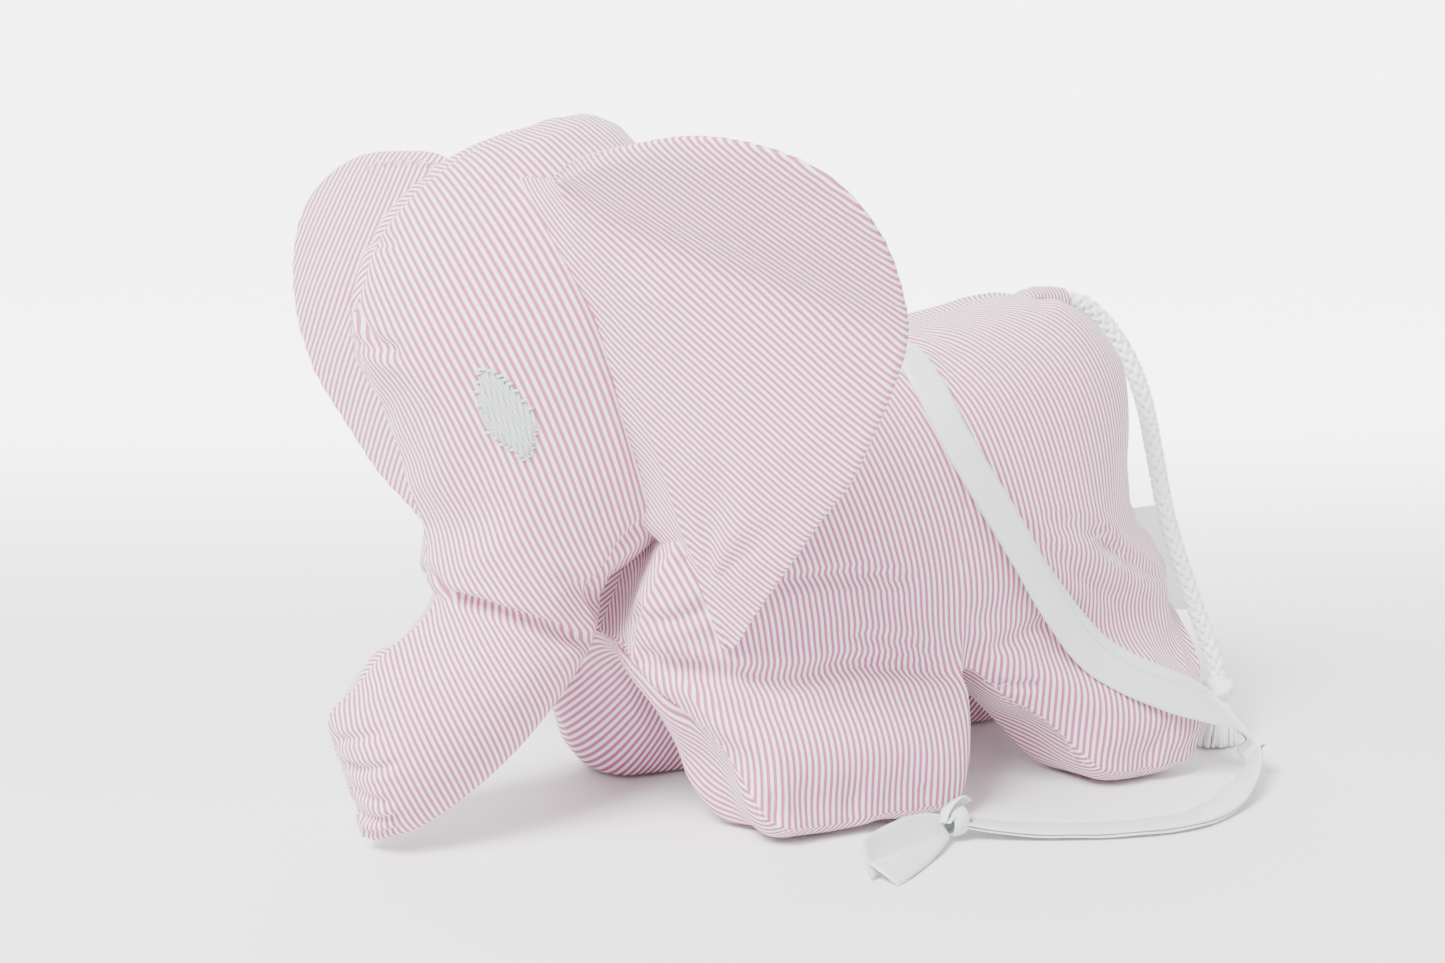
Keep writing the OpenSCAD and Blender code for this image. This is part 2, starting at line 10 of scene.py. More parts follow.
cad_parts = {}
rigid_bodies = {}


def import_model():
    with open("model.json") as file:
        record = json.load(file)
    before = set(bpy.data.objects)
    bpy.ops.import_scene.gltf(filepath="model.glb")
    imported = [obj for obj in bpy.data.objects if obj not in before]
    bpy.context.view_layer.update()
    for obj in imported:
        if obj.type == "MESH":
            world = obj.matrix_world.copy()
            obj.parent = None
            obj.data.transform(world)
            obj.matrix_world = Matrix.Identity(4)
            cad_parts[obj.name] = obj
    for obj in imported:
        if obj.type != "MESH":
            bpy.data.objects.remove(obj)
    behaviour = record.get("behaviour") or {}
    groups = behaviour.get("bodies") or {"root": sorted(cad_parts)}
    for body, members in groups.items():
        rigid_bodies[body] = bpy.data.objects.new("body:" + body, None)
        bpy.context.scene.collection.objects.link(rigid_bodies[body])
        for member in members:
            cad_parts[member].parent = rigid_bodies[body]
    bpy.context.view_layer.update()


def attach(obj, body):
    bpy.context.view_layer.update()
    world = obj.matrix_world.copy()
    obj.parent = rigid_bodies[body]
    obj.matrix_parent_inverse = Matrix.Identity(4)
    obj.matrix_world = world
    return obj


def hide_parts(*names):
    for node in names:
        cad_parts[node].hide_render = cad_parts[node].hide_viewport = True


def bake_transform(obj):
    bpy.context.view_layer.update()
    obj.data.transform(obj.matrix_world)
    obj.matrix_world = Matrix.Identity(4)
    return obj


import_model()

MM = 0.001
# the threads, stitches and tassel strands all draw from this, in the order in which they are made
rng = np.random.default_rng(7)


# ---- Small numeric helpers, all in millimetres ----
def curve(table, x):
    """A smooth line through [x, value] pairs, as the CAD draws it."""
    x = min(max(x, table[0][0]), table[-1][0])
    i = 0
    while i < len(table) - 2 and x >= table[i + 1][0]:
        i += 1

    def slope(k):
        a, b = max(k - 1, 0), min(k + 1, len(table) - 1)
        return (table[b][1] - table[a][1]) / (table[b][0] - table[a][0])

    h = table[i + 1][0] - table[i][0]
    s = (x - table[i][0]) / h
    return (
        (2 * s**3 - 3 * s**2 + 1) * table[i][1]
        + (s**3 - 2 * s**2 + s) * h * slope(i)
        + (3 * s**2 - 2 * s**3) * table[i + 1][1]
        + (s**3 - s**2) * h * slope(i + 1)
    )


def mix(a, b, s):
    return a * (1 - s) + b * s


def spline(points, s):
    """Catmull-Rom point of a list, at s counted in points."""
    p = np.asarray(points, float)
    n = len(p)
    i = min(int(math.floor(s)), n - 2)
    f = s - i
    a = p[i - 1] if i > 0 else 2 * p[0] - p[1]
    b, c = p[i], p[i + 1]
    d = p[i + 2] if i + 2 < n else 2 * p[n - 1] - p[n - 2]
    return 0.5 * (2 * b + (c - a) * f + (2 * a - 5 * b + 4 * c - d) * f**2 + (3 * b - a - 3 * c + d) * f**3)


def unit(v):
    v = np.asarray(v, float)
    return v / max(np.linalg.norm(v), 1e-12)


def smoothstep(a, b, x):
    t = np.clip((np.asarray(x, float) - a) / (b - a), 0, 1)
    return t * t * (3 - 2 * t)


def line_distance(p, line):
    """Distance of points p (n, k) from a polyline, and how far along it (0 to 1) each is nearest."""
    line = np.asarray(line, float)
    seg = line[1:] - line[:-1]
    lengths = np.linalg.norm(seg, axis=1)
    total = lengths.sum()
    start = np.concatenate([[0], np.cumsum(lengths)[:-1]])
    best = np.full(len(p), 1e9)
    along = np.zeros(len(p))
    for a, d, ln, s0 in zip(line[:-1], seg, lengths, start):
        t = np.clip(((p - a) @ d) / max(ln * ln, 1e-12), 0, 1)
        dist = np.linalg.norm(p - (a + t[:, None] * d), axis=1)
        near = dist < best
        best = np.where(near, dist, best)
        along = np.where(near, (s0 + t * ln) / total, along)
    return best, along


def smooth_line(points, steps):
    n = len(points)
    return np.array([spline(points, s) for s in np.linspace(0, n - 1, (n - 1) * steps + 1)])


def run_along(points):
    """How far along a line each of its points is."""
    return np.concatenate([[0], np.cumsum(np.linalg.norm(points[1:] - points[:-1], axis=1))])


# ---- Materials ----
def new_material(name):
    m = bpy.data.materials.new(name)
    m.use_nodes = True
    nt = m.node_tree
    nt.nodes.clear()
    out = nt.nodes.new("ShaderNodeOutputMaterial")
    bsdf = nt.nodes.new("ShaderNodeBsdfPrincipled")
    nt.links.new(bsdf.outputs[0], out.inputs[0])
    return m, nt, bsdf


def node(nt, kind, **values):
    n = nt.nodes.new(kind)
    for k, v in values.items():
        setattr(n, k, v)
    return n


def link(nt, a, b):
    nt.links.new(a, b)


def maths(nt, op, a, b=None, c=None):
    n = nt.nodes.new("ShaderNodeMath")
    n.operation = op
    for i, v in enumerate((a, b, c)):
        if v is None:
            continue
        if isinstance(v, (int, float)):
            n.inputs[i].default_value = v
        else:
            nt.links.new(v, n.inputs[i])
    return n.outputs[0]


def set_inputs(n, **values):
    """Sets a node's inputs by name, with _ for each space in the name."""
    for key, value in values.items():
        n.inputs[key.replace("_", " ")].default_value = value


def noise_of(nt, place, scale, detail):
    n = node(nt, "ShaderNodeTexNoise")
    set_inputs(n, Scale=scale, Detail=detail)
    link(nt, place, n.inputs["Vector"])
    return n.outputs[0]


def add_bump(nt, bsdf, height, strength, distance):
    n = node(nt, "ShaderNodeBump")
    set_inputs(n, Strength=strength, Distance=distance)
    link(nt, height, n.inputs["Height"])
    link(nt, n.outputs[0], bsdf.inputs["Normal"])


# from one stripe to the next, and from one thread to the next along and across them, in metres
STRIPE = 2.05 * MM
WARP, WEFT = 0.00036, 0.00042
# how far the stripes wander from straight, in metres
WANDER = 0.0002
PINK = (0.50, 0.135, 0.285, 1)
OFF_WHITE = (0.88, 0.83, 0.85, 1)


def cotton_material():
    """Yarn-dyed cotton: narrow stripes along V of the flat pattern, in metres, with a plain weave."""
    m, nt, bsdf = new_material("striped_cotton")
    uv = node(nt, "ShaderNodeUVMap", uv_map="pattern").outputs[0]
    sep = node(nt, "ShaderNodeSeparateXYZ")
    link(nt, uv, sep.inputs[0])
    u, v = sep.outputs[0], sep.outputs[1]

    def waves(place, spacing):
        return maths(nt, "SINE", maths(nt, "MULTIPLY", place, 2 * math.pi / spacing))

    wandering = maths(nt, "SUBTRACT", noise_of(nt, uv, 160, 2), 0.5)
    stripes = waves(maths(nt, "ADD", u, maths(nt, "MULTIPLY", wandering, WANDER)), STRIPE)
    ramp = node(nt, "ShaderNodeValToRGB")
    for stop, place, colour in zip(ramp.color_ramp.elements, (0.30, 0.66), (OFF_WHITE, PINK)):
        stop.position = place
        stop.color = colour
    link(nt, maths(nt, "MULTIPLY_ADD", stripes, 0.5, 0.5), ramp.inputs[0])
    # the warp runs along V and the weft along U
    weave = maths(nt, "MULTIPLY", waves(u, WARP), waves(v, WEFT))
    slub = noise_of(nt, uv, 900, 3)
    shade = maths(nt, "ADD", maths(nt, "MULTIPLY", slub, 0.5), maths(nt, "MULTIPLY_ADD", weave, 0.1, 0.68))
    tint = node(nt, "ShaderNodeMix", data_type="RGBA", blend_type="MULTIPLY")
    tint.inputs[0].default_value = 0.35
    link(nt, ramp.outputs[0], tint.inputs[6])
    link(nt, shade, tint.inputs[7])
    link(nt, tint.outputs[2], bsdf.inputs["Base Color"])
    set_inputs(bsdf, Roughness=0.82, Sheen_Weight=0.1, Sheen_Roughness=0.5, Specular_IOR_Level=0.25)
    add_bump(nt, bsdf, maths(nt, "ADD", maths(nt, "MULTIPLY", weave, 0.4), slub), 0.35, 0.00012)
    return m


def satin_material():
    m, nt, bsdf = new_material("satin_ribbon")
    uv = node(nt, "ShaderNodeUVMap", uv_map="pattern").outputs[0]
    set_inputs(bsdf, Base_Color=(0.66, 0.70, 0.68, 1), Roughness=0.34, Anisotropic=0.5, Sheen_Weight=0.3,
               Specular_IOR_Level=0.5)
    add_bump(nt, bsdf, noise_of(nt, uv, 1500, 2), 0.12, 0.00006)
    return m


def plain_fibre(name, colour, roughness=0.75, scale=1400, strength=0.3):
    m, nt, bsdf = new_material(name)
    place = node(nt, "ShaderNodeTexCoord").outputs["Object"]
    set_inputs(bsdf, Base_Color=colour, Roughness=roughness, Sheen_Weight=0.3, Specular_IOR_Level=0.3)
    add_bump(nt, bsdf, noise_of(nt, place, scale, 3), strength, 0.0002)
    return m


COTTON = cotton_material()
SATIN = satin_material()
CORD = plain_fibre("cotton_cord", (0.90, 0.92, 0.91, 1))
THREAD = plain_fibre("embroidery_thread", (0.58, 0.63, 0.61, 1), roughness=0.28, scale=3000, strength=0.2)
TAPE = plain_fibre("woven_label", (0.88, 0.88, 0.87, 1), roughness=0.6, scale=2500, strength=0.15)
SEWING = plain_fibre("sewing_thread", (0.80, 0.62, 0.70, 1), roughness=0.6)


# ---- Mesh helpers ----
def make_object(name, verts_mm, faces, material, smooth=True):
    mesh = bpy.data.meshes.new(name)
    mesh.from_pydata((np.asarray(verts_mm, float) * MM).tolist(), [], faces)
    mesh.update()
    if smooth:
        mesh.polygons.foreach_set("use_smooth", [True] * len(mesh.polygons))
    mesh.materials.append(material)
    ob = bpy.data.objects.new(name, mesh)
    bpy.context.scene.collection.objects.link(ob)
    return ob


def read(items, what, kind=float, size=1):
    """One value, or size of them, from each vertex, loop or polygon of a mesh."""
    out = np.zeros(len(items) * size, kind)
    items.foreach_get(what, out)
    return out if size == 1 else out.reshape(-1, size)


def get_co(ob):
    return read(ob.data.vertices, "co", size=3) / MM


def set_co(ob, co):
    ob.data.vertices.foreach_set("co", (np.asarray(co) * MM).ravel())
    ob.data.update()


def set_pattern(ob, uv):
    """Gives a piece its flat pattern, from a place in metres for each of its vertices."""
    layer = ob.data.uv_layers.new(name="pattern")
    layer.data.foreach_set("uv", np.asarray(uv)[read(ob.data.loops, "vertex_index", int)].ravel())


def face_outward(ob):
    bm = bmesh.new()
    bm.from_mesh(ob.data)
    bmesh.ops.recalc_face_normals(bm, faces=bm.faces)
    bm.to_mesh(ob.data)
    bm.free()
    ob.data.update()


def surface(ob):
    return BVHTree.FromPolygons(get_co(ob).tolist(), [list(f.vertices) for f in ob.data.polygons])


def only(ob):
    for o in bpy.context.view_layer.objects:
        o.select_set(False)
    ob.select_set(True)
    bpy.context.view_layer.objects.active = ob


def apply_modifiers(ob):
    dg = bpy.context.evaluated_depsgraph_get()
    mesh = bpy.data.meshes.new_from_object(ob.evaluated_get(dg), preserve_all_data_layers=True, depsgraph=dg)
    old = ob.data
    ob.modifiers.clear()
    ob.data = mesh
    bpy.data.meshes.remove(old)


def subdivide(ob):
    mod = ob.modifiers.new("Subdivision", "SUBSURF")
    mod.levels = mod.render_levels = 1
    mod.uv_smooth = "PRESERVE_BOUNDARIES"
    apply_modifiers(ob)


def mark_seams(ob, edges):
    wanted = {tuple(sorted(e)) for e in edges}
    for e in ob.data.edges:
        e.use_seam = tuple(sorted(e.vertices)) in wanted


def flatten(ob, panels, face_panel, references, leans=()):
    """Unwraps the mesh at its seams, then turns each panel's flat pattern to fit its reference plane, at the
    size of the cloth. panels is {id: stripe angle in degrees}; stripes run along V. leans is {id: (place,
    length, slope)}: past that place along V the grain leans by the slope, upward if the length is above 0
    and downward if it is below."""
    only(ob)
    while ob.data.uv_layers:
        ob.data.uv_layers.remove(ob.data.uv_layers[0])
    ob.data.uv_layers.new(name="pattern")
    bpy.ops.object.mode_set(mode="EDIT")
    bpy.ops.mesh.select_all(action="SELECT")
    bpy.ops.uv.unwrap(method="MINIMUM_STRETCH", iterations=30, margin=0.0)
    bpy.ops.object.mode_set(mode="OBJECT")
    mesh = ob.data
    uv = read(mesh.uv_layers["pattern"].data, "uv", size=2)
    vi = read(mesh.loops, "vertex_index", int)
    real = read(mesh.polygons, "area")
    spans = zip(read(mesh.polygons, "loop_start", int), read(mesh.polygons, "loop_total", int), face_panel)
    loop_panel = np.zeros(len(mesh.loops), int)
    flat_area = np.zeros(len(mesh.polygons))
    for k, (s, t, p) in enumerate(spans):
        loop_panel[s : s + t] = p
        x, y = uv[s : s + t].T
        flat_area[k] = 0.5 * abs(x @ np.roll(y, -1) - y @ np.roll(x, -1))
    face_panel = np.asarray(face_panel)
    for p, angle in panels.items():
        sel = loop_panel == p
        if not sel.any():
            continue
        a = uv[sel]
        b = references[p][vi[sel]]
        ok = ~np.isnan(b).any(axis=1)
        a0, b0 = a[ok].mean(axis=0), b[ok].mean(axis=0)
        w, _, vt = np.linalg.svd((a[ok] - a0).T @ (b[ok] - b0))
        k = math.sqrt(real[face_panel == p].sum() / MM**2 / flat_area[face_panel == p].sum())
        flat = (a - a0) @ (w @ vt) * k
        if p in leans:
            start, length, slope = leans[p]
            flat[:, 0] += slope * length * np.logaddexp(0, (flat[:, 1] - start) / length)
        c, sn = math.cos(math.radians(angle)), math.sin(math.radians(angle))
        uv[sel] = flat @ np.array([[c, -sn], [sn, c]]) * MM
    mesh.uv_layers["pattern"].data.foreach_set("uv", uv.ravel())


def blur(field, rounds):
    """Smooths a field on a grid whose second direction is closed."""
    for _ in range(rounds):
        field = 0.5 * field + 0.25 * (np.roll(field, 1, axis=1) + np.roll(field, -1, axis=1))
        field[1:-1] = 0.5 * field[1:-1] + 0.25 * (field[:-2] + field[2:])
    return field


CLOTH_FRAMES = 16
# how much of the short gathers and of the slow swell is kept, and the most that a point may move, in mm
KEEP_GATHERS, KEEP_SWELL, MOST_MOVE = 0.6, 0.12, 3.0


def simulate(ob, grid, pin, shrink):
    """Inflates a closed skin as cloth. pin and shrink are weights per vertex: a shrinking seam gathers it.
    The gathers are kept, and the slow change of the whole shape is mostly taken out again."""
    for key, weights in (("pin", pin), ("shrink", shrink)):
        group = ob.vertex_groups.new(name=key)
        for i in np.nonzero(weights > 0.001)[0]:
            group.add([int(i)], float(weights[i]), "REPLACE")
    mod = ob.modifiers.new("Cloth", "CLOTH")
    settings = dict(quality=5, mass=0.3, tension_stiffness=20, compression_stiffness=20, shear_stiffness=8,
                    bending_stiffness=0.6, use_pressure=True, uniform_pressure_force=4.0,
                    vertex_group_mass="pin", pin_stiffness=1, vertex_group_shrink="shrink", shrink_min=0.0,
                    shrink_max=0.08)
    for key, value in settings.items():
        setattr(mod.settings, key, value)
    mod.settings.effector_weights.gravity = 0
    mod.collision_settings.use_collision = False
    mod.point_cache.frame_start, mod.point_cache.frame_end = 1, CLOTH_FRAMES
    scene = bpy.context.scene
    before = get_co(ob)
    for f in range(1, CLOTH_FRAMES + 1):
        scene.frame_set(f)
    after = get_co(ob.evaluated_get(bpy.context.evaluated_depsgraph_get()))
    ob.modifiers.clear()
    ob.vertex_groups.clear()
    scene.frame_set(1)
    move = after - before
    far = np.linalg.norm(move, axis=1)
    print("cloth", ob.name, "moved", round(float(np.median(far)), 2), round(float(far.max()), 2), "mm")
    move = blur(move.reshape(*grid, 3), 1)
    slow = blur(move, 14).reshape(-1, 3)
    move = move.reshape(-1, 3)
    move = KEEP_GATHERS * (move - slow) + KEEP_SWELL * slow
    far = np.linalg.norm(move, axis=1)
    move *= np.minimum(1, MOST_MOVE / np.maximum(far, 1e-9))[:, None]
    set_co(ob, before + move)


def grid_faces(n, m):
    """Faces between n closed rings with m points each."""
    return [(i * m + j, i * m + (j + 1) % m, (i + 1) * m + (j + 1) % m, (i + 1) * m + j)
            for i in range(n - 1) for j in range(m)]


def end_caps(n, m):
    """The two flat ends of n rings with m points each."""
    return [tuple(range(m - 1, -1, -1)), tuple((n - 1) * m + k for k in range(m))]


def seam_edges(n, m, columns):
    """Edges along the given columns of a grid and round its two end rings."""
    return ([(i * m + j, (i + 1) * m + j) for i in range(n - 1) for j in columns]
            + [(base + j, base + (j + 1) % m) for base in (0, (n - 1) * m) for j in range(m)])


def carried_frames(route, start):
    """The direction of a route at each point, and two directions across it that turn no more than it does."""
    tangent = np.gradient(route, axis=0)
    tangent /= np.linalg.norm(tangent, axis=1)[:, None]
    a = unit(np.cross(tangent[0], start))
    out = []
    for t in tangent:
        a = unit(a - (a @ t) * t)
        out.append((t, a, np.cross(t, a)))
    return out


def tube(route, radii, sides, start_dir=(0, 0, 1)):
    """Vertices and faces of a tube along a route."""
    route = np.asarray(route, float)
    radii = np.broadcast_to(np.asarray(radii, float), (len(route),))
    angles = np.linspace(0, 2 * math.pi, sides, endpoint=False)
    frames = carried_frames(route, start_dir)
    verts = [place + radius * (math.cos(t) * a + math.sin(t) * b)
             for place, radius, (_, a, b) in zip(route, radii, frames) for t in angles]
    return verts, grid_faces(len(route), sides) + end_caps(len(route), sides)


def join_parts(parts):
    verts, faces = [], []
    for v, f in parts:
        base = len(verts)
        verts.extend(v)
        faces.extend(tuple(base + i for i in face) for face in f)
    return verts, faces


# ---- Torso: rings at fixed X, as in the CAD ----
SPINE_Z = [[-66, 122], [-40, 134], [-10, 139], [20, 141], [41, 144], [71, 150], [90, 154], [102, 147],
           [116, 135], [123, 122], [130, 88], [134, 68], [137, 50]]
SIDE_W = [[-66, 0.74], [-54, 0.88], [-38, 0.96], [0, 0.98], [45, 1], [75, 0.96], [92, 0.89], [107, 0.77],
          [117, 0.64], [125, 0.47], [131, 0.3], [137, 0.12]]
LEG_PART = [[-66, 0.05], [-60, 0.3], [-52, 0.68], [-46, 0.93], [-40, 1], [26, 1], [31, 0.94], [34, 0.7],
            [36, 0.2], [38, 0], [41, 0], [52, 0.3], [64, 0.62], [74, 0.9], [80, 1], [116, 1], [124, 0.97],
            [131, 0.9], [137, 0.8]]
SHUT_PART = [[-66, 0.98], [-62, 0.55], [-56, 0.28], [-48, 0.08], [-38, 0], [108, 0], [120, 0.1], [128, 0.34],
             [133, 0.62], [137, 0.985]]
WAIST_Z, CREASE_Z, LEG_W, SOLE_IN, SOLE_OUT, BELLY = 84, 50, 56, 26, 46, 46
HALF_W, SEAM_Y, SEAM_Z = 47, 57, 4
# between the torso and the head where they meet
NECK_GAP = 0.25


def neck_x(z):
    return -65 + (z - 60) * 41 / 90


def neck_z(x):
    return 60 + (x + 65) * 90 / 41


def torso_outer(x):
    w, top, l = HALF_W * curve(SIDE_W, x), curve(SPINE_Z, x), curve(LEG_PART, x)
    h = top - WAIST_Z
    return np.array([
        [0, top], [-0.6 * w, top - 0.07 * h], [-0.93 * w, top - 0.42 * h], [-w, WAIST_Z - 6],
        [-0.98 * w - l, mix(60, CREASE_Z, l)],
        [-mix(0.94 * w, LEG_W, l), mix(51, 27, l)],
        [-mix(0.86 * w, SEAM_Y, l), mix(BELLY - 3, SEAM_Z, l)]])


def torso_inner(x):
    w, l = HALF_W * curve(SIDE_W, x), curve(LEG_PART, x)
    return np.array([
        torso_outer(x)[6],
        [-mix(0.66 * w, SOLE_OUT, l), mix(BELLY - 3.5, 0, l)],
        [-mix(0.46 * w, SOLE_IN, l), mix(BELLY - 3, 0, l)],
        [-mix(0.3 * w, 16, l), mix(BELLY - 2, 15, l)],
        [-mix(0.15 * w, 11, l), mix(BELLY - 1, 34, l)],
        [0, BELLY]])


N_HALF = 40


def torso_ring(x):
    outer, inner = torso_outer(x), torso_inner(x)
    half = [spline(outer, k * 6 / N_HALF) for k in range(N_HALF)]
    half += [spline(inner, k * 5 / N_HALF) for k in range(N_HALF + 1)]
    s = curve(SHUT_PART, x)
    out = []
    for y, z in half:
        y = y * (1 - 0.2 * s)
        line = 57 - 0.004 * y * y if x < 0 else 46 - 0.011 * y * y
        out.append([y, mix(z, line, s)])
    out = np.array(out)
    loop = np.concatenate([out, out[-2:0:-1] * [-1, 1]])
    z = np.clip(loop[:, 1], 0, neck_z(x) - NECK_GAP)
    return np.column_stack([np.full(len(loop), x), loop[:, 0], z])


def spread_stations(low, high, ring, gap):
    """Places along a piece, close enough that no ring point moves more than gap between two of them."""
    xs = np.linspace(low, high, 500)
    rings = np.array([ring(x) for x in xs])
    step = np.linalg.norm(rings[1:] - rings[:-1], axis=2).max(axis=1)
    total = np.concatenate([[0], np.cumsum(step)])
    n = int(math.ceil(total[-1] / gap))
    return np.interp(np.linspace(0, total[-1], n + 1), total, xs)


def build_torso():
    g = np.array([torso_ring(x) for x in spread_stations(-66, 137, torso_ring, 4.0)])
    n, m = g.shape[:2]
    # soften the steps between neighbouring rings without moving the seams' ends
    for _ in range(2):
        g[1:-1] = 0.25 * g[:-2] + 0.5 * g[1:-1] + 0.25 * g[2:]
    x, y, z = g[:, :, 0].copy(), g[:, :, 1].copy(), g[:, :, 2].copy()
    # the chest swells forward each side of the neck
    g[:, :, 0] -= (9 * smoothstep(6, 36, np.abs(y)) * smoothstep(46, 80, z) * (1 - smoothstep(90, 134, z))
                   * (1 - smoothstep(-56, -6, x)))
    # the back of the body goes in below the tail and out again above the hind feet
    back = np.interp(z, [40, 52, 62, 74, 84, 100, 118, 134], [0, 4, 6, -1, -6, -7, -4, 0])
    back += np.interp(z, [22, 34, 46, 56, 66, 76], [0, 5, 8, 6, 2, 0]) * (1 - smoothstep(28, 50, np.abs(y)))
    g[:, :, 0] += back * smoothstep(84, 118, x) * smoothstep(-8, 4, x - 84)
    # the legs of the two sides don't stand level with each other
    low = 1 - smoothstep(20, 60, z)
    g[:, :, 0] -= 12 * smoothstep(12, 40, y) * low * (1 - smoothstep(-10, 38, x))
    g[:, :, 0] += 7 * smoothstep(12, 40, -y) * low * (1 - smoothstep(-42, 12, x))
    g[:, :, 0] += (6 * smoothstep(12, 40, -y) * (1 - smoothstep(14, 46, z)) * smoothstep(46, 60, x)
                   * (1 - smoothstep(74, 104, x)))
    h = N_HALF
    caps = []
    for base in (0, (n - 1) * m):
        for j in range(h):
            a, b, c, d = j, j + 1, 2 * h - j - 1, 2 * h - j
            for sign in (0, 1):
                q = [(m - k) % m for k in (a, b, c, d)] if sign else [a, b, c, d]
                q = [base + k for k in dict.fromkeys(q)]
                flip = (sign == 1) != (base != 0)
                caps.append(tuple(q[::-1] if flip else q))
    faces = [f[::-1] for f in grid_faces(n, m)] + caps
    ob = make_object("torso_skin", g.reshape(-1, 3), faces, COTTON)
    face_outward(ob)
    # panels: left side, belly, right side and the closed ends
    panel = np.array(([0] * h + [1] * (m - 2 * h) + [2] * h) * (n - 1) + [3] * len(caps))
    seams = seam_edges(n, m, (0, h, m - h))
    arc = np.zeros((n, m))
    for i in range(n):
        d = np.linalg.norm(np.roll(g[i], -1, axis=0) - g[i], axis=1)
        arc[i, 1 : m // 2 + 1] = np.cumsum(d)[: m // 2]
        arc[i, m // 2 + 1 :] = arc[i, 1 : m // 2][::-1]
    side = np.column_stack([g[:, :, 0].ravel(), -arc.ravel()])
    # under the body, from the middle of the belly out to each side
    under = (arc[:, m // 2, None] - arc) * np.where(np.arange(m) > m // 2, 1, -1)
    belly = np.column_stack([g[:, :, 0].ravel(), under.ravel()])
    return ob, g, panel, seams, {0: side, 1: belly, 2: side, 3: side}


# ---- Head and trunk: rings across a line from the trunk's tip up to the crown ----
# centre x, z; direction of the front seam above -X; depth to the front and to the back seam; half width
HEAD_RINGS = [
    [-147, 21, 75, 18.5, 18.5, 1.5], [-144.5, 22, 75, 22, 21, 11], [-136, 27, 74, 24.5, 25.5, 19],
    [-124, 35, 62, 25.5, 27, 23.5], [-112, 44, 45, 23.5, 27, 25.5], [-102, 53, 33, 23, 26, 26],
    [-93, 62.5, 25.5, 25, 25, 26], [-93, 77, 5, 27, 29, 29], [-84, 94, 0, 37.5, 44, 33],
    [-80, 110, 0, 46, 48, 36.5], [-78, 130, 0, 55, 56, 39.5], [-80, 148, 0, 59.5, 57, 41],
    [-80, 165, 0, 58.5, 57.5, 40], [-79, 179, 1, 54, 53, 36.5], [-76, 190, 4, 45, 43, 31],
    [-71, 199, 10, 32, 30, 23], [-67, 206, 14, 18, 17, 14], [-64, 209.5, 16, 7, 7, 6],
    [-63.5, 210.6, 16, 1.0, 1.0, 1.0]]
HEAD_SIDES = 96
HEAD_LENS = 1.2


def head_ring_at(s):
    """Ring number s: 0 is the trunk's tip and the last is the crown."""
    r = spline(HEAD_RINGS, s)
    k = np.arange(HEAD_SIDES)
    a = 2 * math.pi * k / HEAD_SIDES
    c, sn = np.cos(a), np.sin(a)
    u = np.where(c > 0, r[3], r[4]) * c
    y = -r[5] * np.sign(sn) * np.abs(sn) ** HEAD_LENS
    d = math.radians(r[2])
    x = r[0] - u * math.cos(d)
    z = r[1] + u * math.sin(d)
    x = np.where(z < 162, np.minimum(x, neck_x(z)), x)
    return np.column_stack([x, y, z])


def build_head():
    places = spread_stations(0, len(HEAD_RINGS) - 1, head_ring_at, 3.2)
    g = np.array([head_ring_at(s) for s in places])
    n, m = g.shape[:2]
    g[1:-1] = 0.25 * g[:-2] + 0.5 * g[1:-1] + 0.25 * g[2:]
    h = m // 2
    caps = [tuple(base + k for k in dict.fromkeys([j, j + 1, (m - j - 1) % m, (m - j) % m]))
            for base in (0, (n - 1) * m) for j in range(h)]
    faces = [f[::-1] for f in grid_faces(n, m)] + caps
    ob = make_object("head_skin", g.reshape(-1, 3), faces, COTTON)
    face_outward(ob)
    # panels: left side, right side and the closed ends
    panel = np.array(([0] * h + [1] * h) * (n - 1) + [2] * len(caps))
    ref = np.column_stack([g[:, :, 0].ravel(), g[:, :, 2].ravel()])
    return ob, g, panel, seam_edges(n, m, (0, h)), {0: ref, 1: ref, 2: ref}


# ---- Ears: (p, q) is the place outward from the fold line and along it from its upper end ----
FOLD_TOP = np.array([-93.0, -43, 191])
FOLD_LEFT = unit(np.array([-58, -45, 95]) - FOLD_TOP)
FOLD_RIGHT = unit(np.array([-82, -45, 95]) - FOLD_TOP)
# how each ear stands on its fold, in degrees, its curl, its reach, its side, the seed of its waves and the
# size of its weave
EARS = {
    "left": dict(fold=FOLD_LEFT, angle=52, curl=5.5, reach=1, side=1, wave_seed=3, weave=1.12),
    "right": dict(fold=FOLD_RIGHT, angle=116, curl=-3, reach=0.96, side=-1, wave_seed=5, weave=0.9),
}
EAR_OUTLINE = [[0.0, -4.5], [7, -7.5], [16, -9.2], [31, -9.6], [49, -9.0], [64, -5.5], [77, 1], [85.5, 9.5],
               [89.5, 20], [90, 32], [87, 46], [82, 59], [76.5, 68], [68, 79], [55, 94], [43, 103.5],
               [33, 112], [22, 121.5],
               [12, 130], [4.5, 137], [0.5, 140]]
VALLEY = (np.array([4.0, 7.0]), np.array([81.0, 55.0]))
ROOT_X = [[70, -49], [78, -53], [95, -64], [104, -65], [116, -69], [127, -74], [142, -78.5], [156, -82.5],
          [167, -88], [178, -93], [191, -98], [195, -99]]


def head_side_y(x, z):
    rings = HEAD_RINGS[7:]
    dx = x - curve([[r[1], r[0]] for r in rings], z)
    depth = curve([[r[1], r[3 if dx < 0 else 4]] for r in rings], z)
    w = curve([[r[1], r[5]] for r in rings], z)
    return -w * max(0.0, 1 - (dx / depth) ** 2) ** (HEAD_LENS / 2)


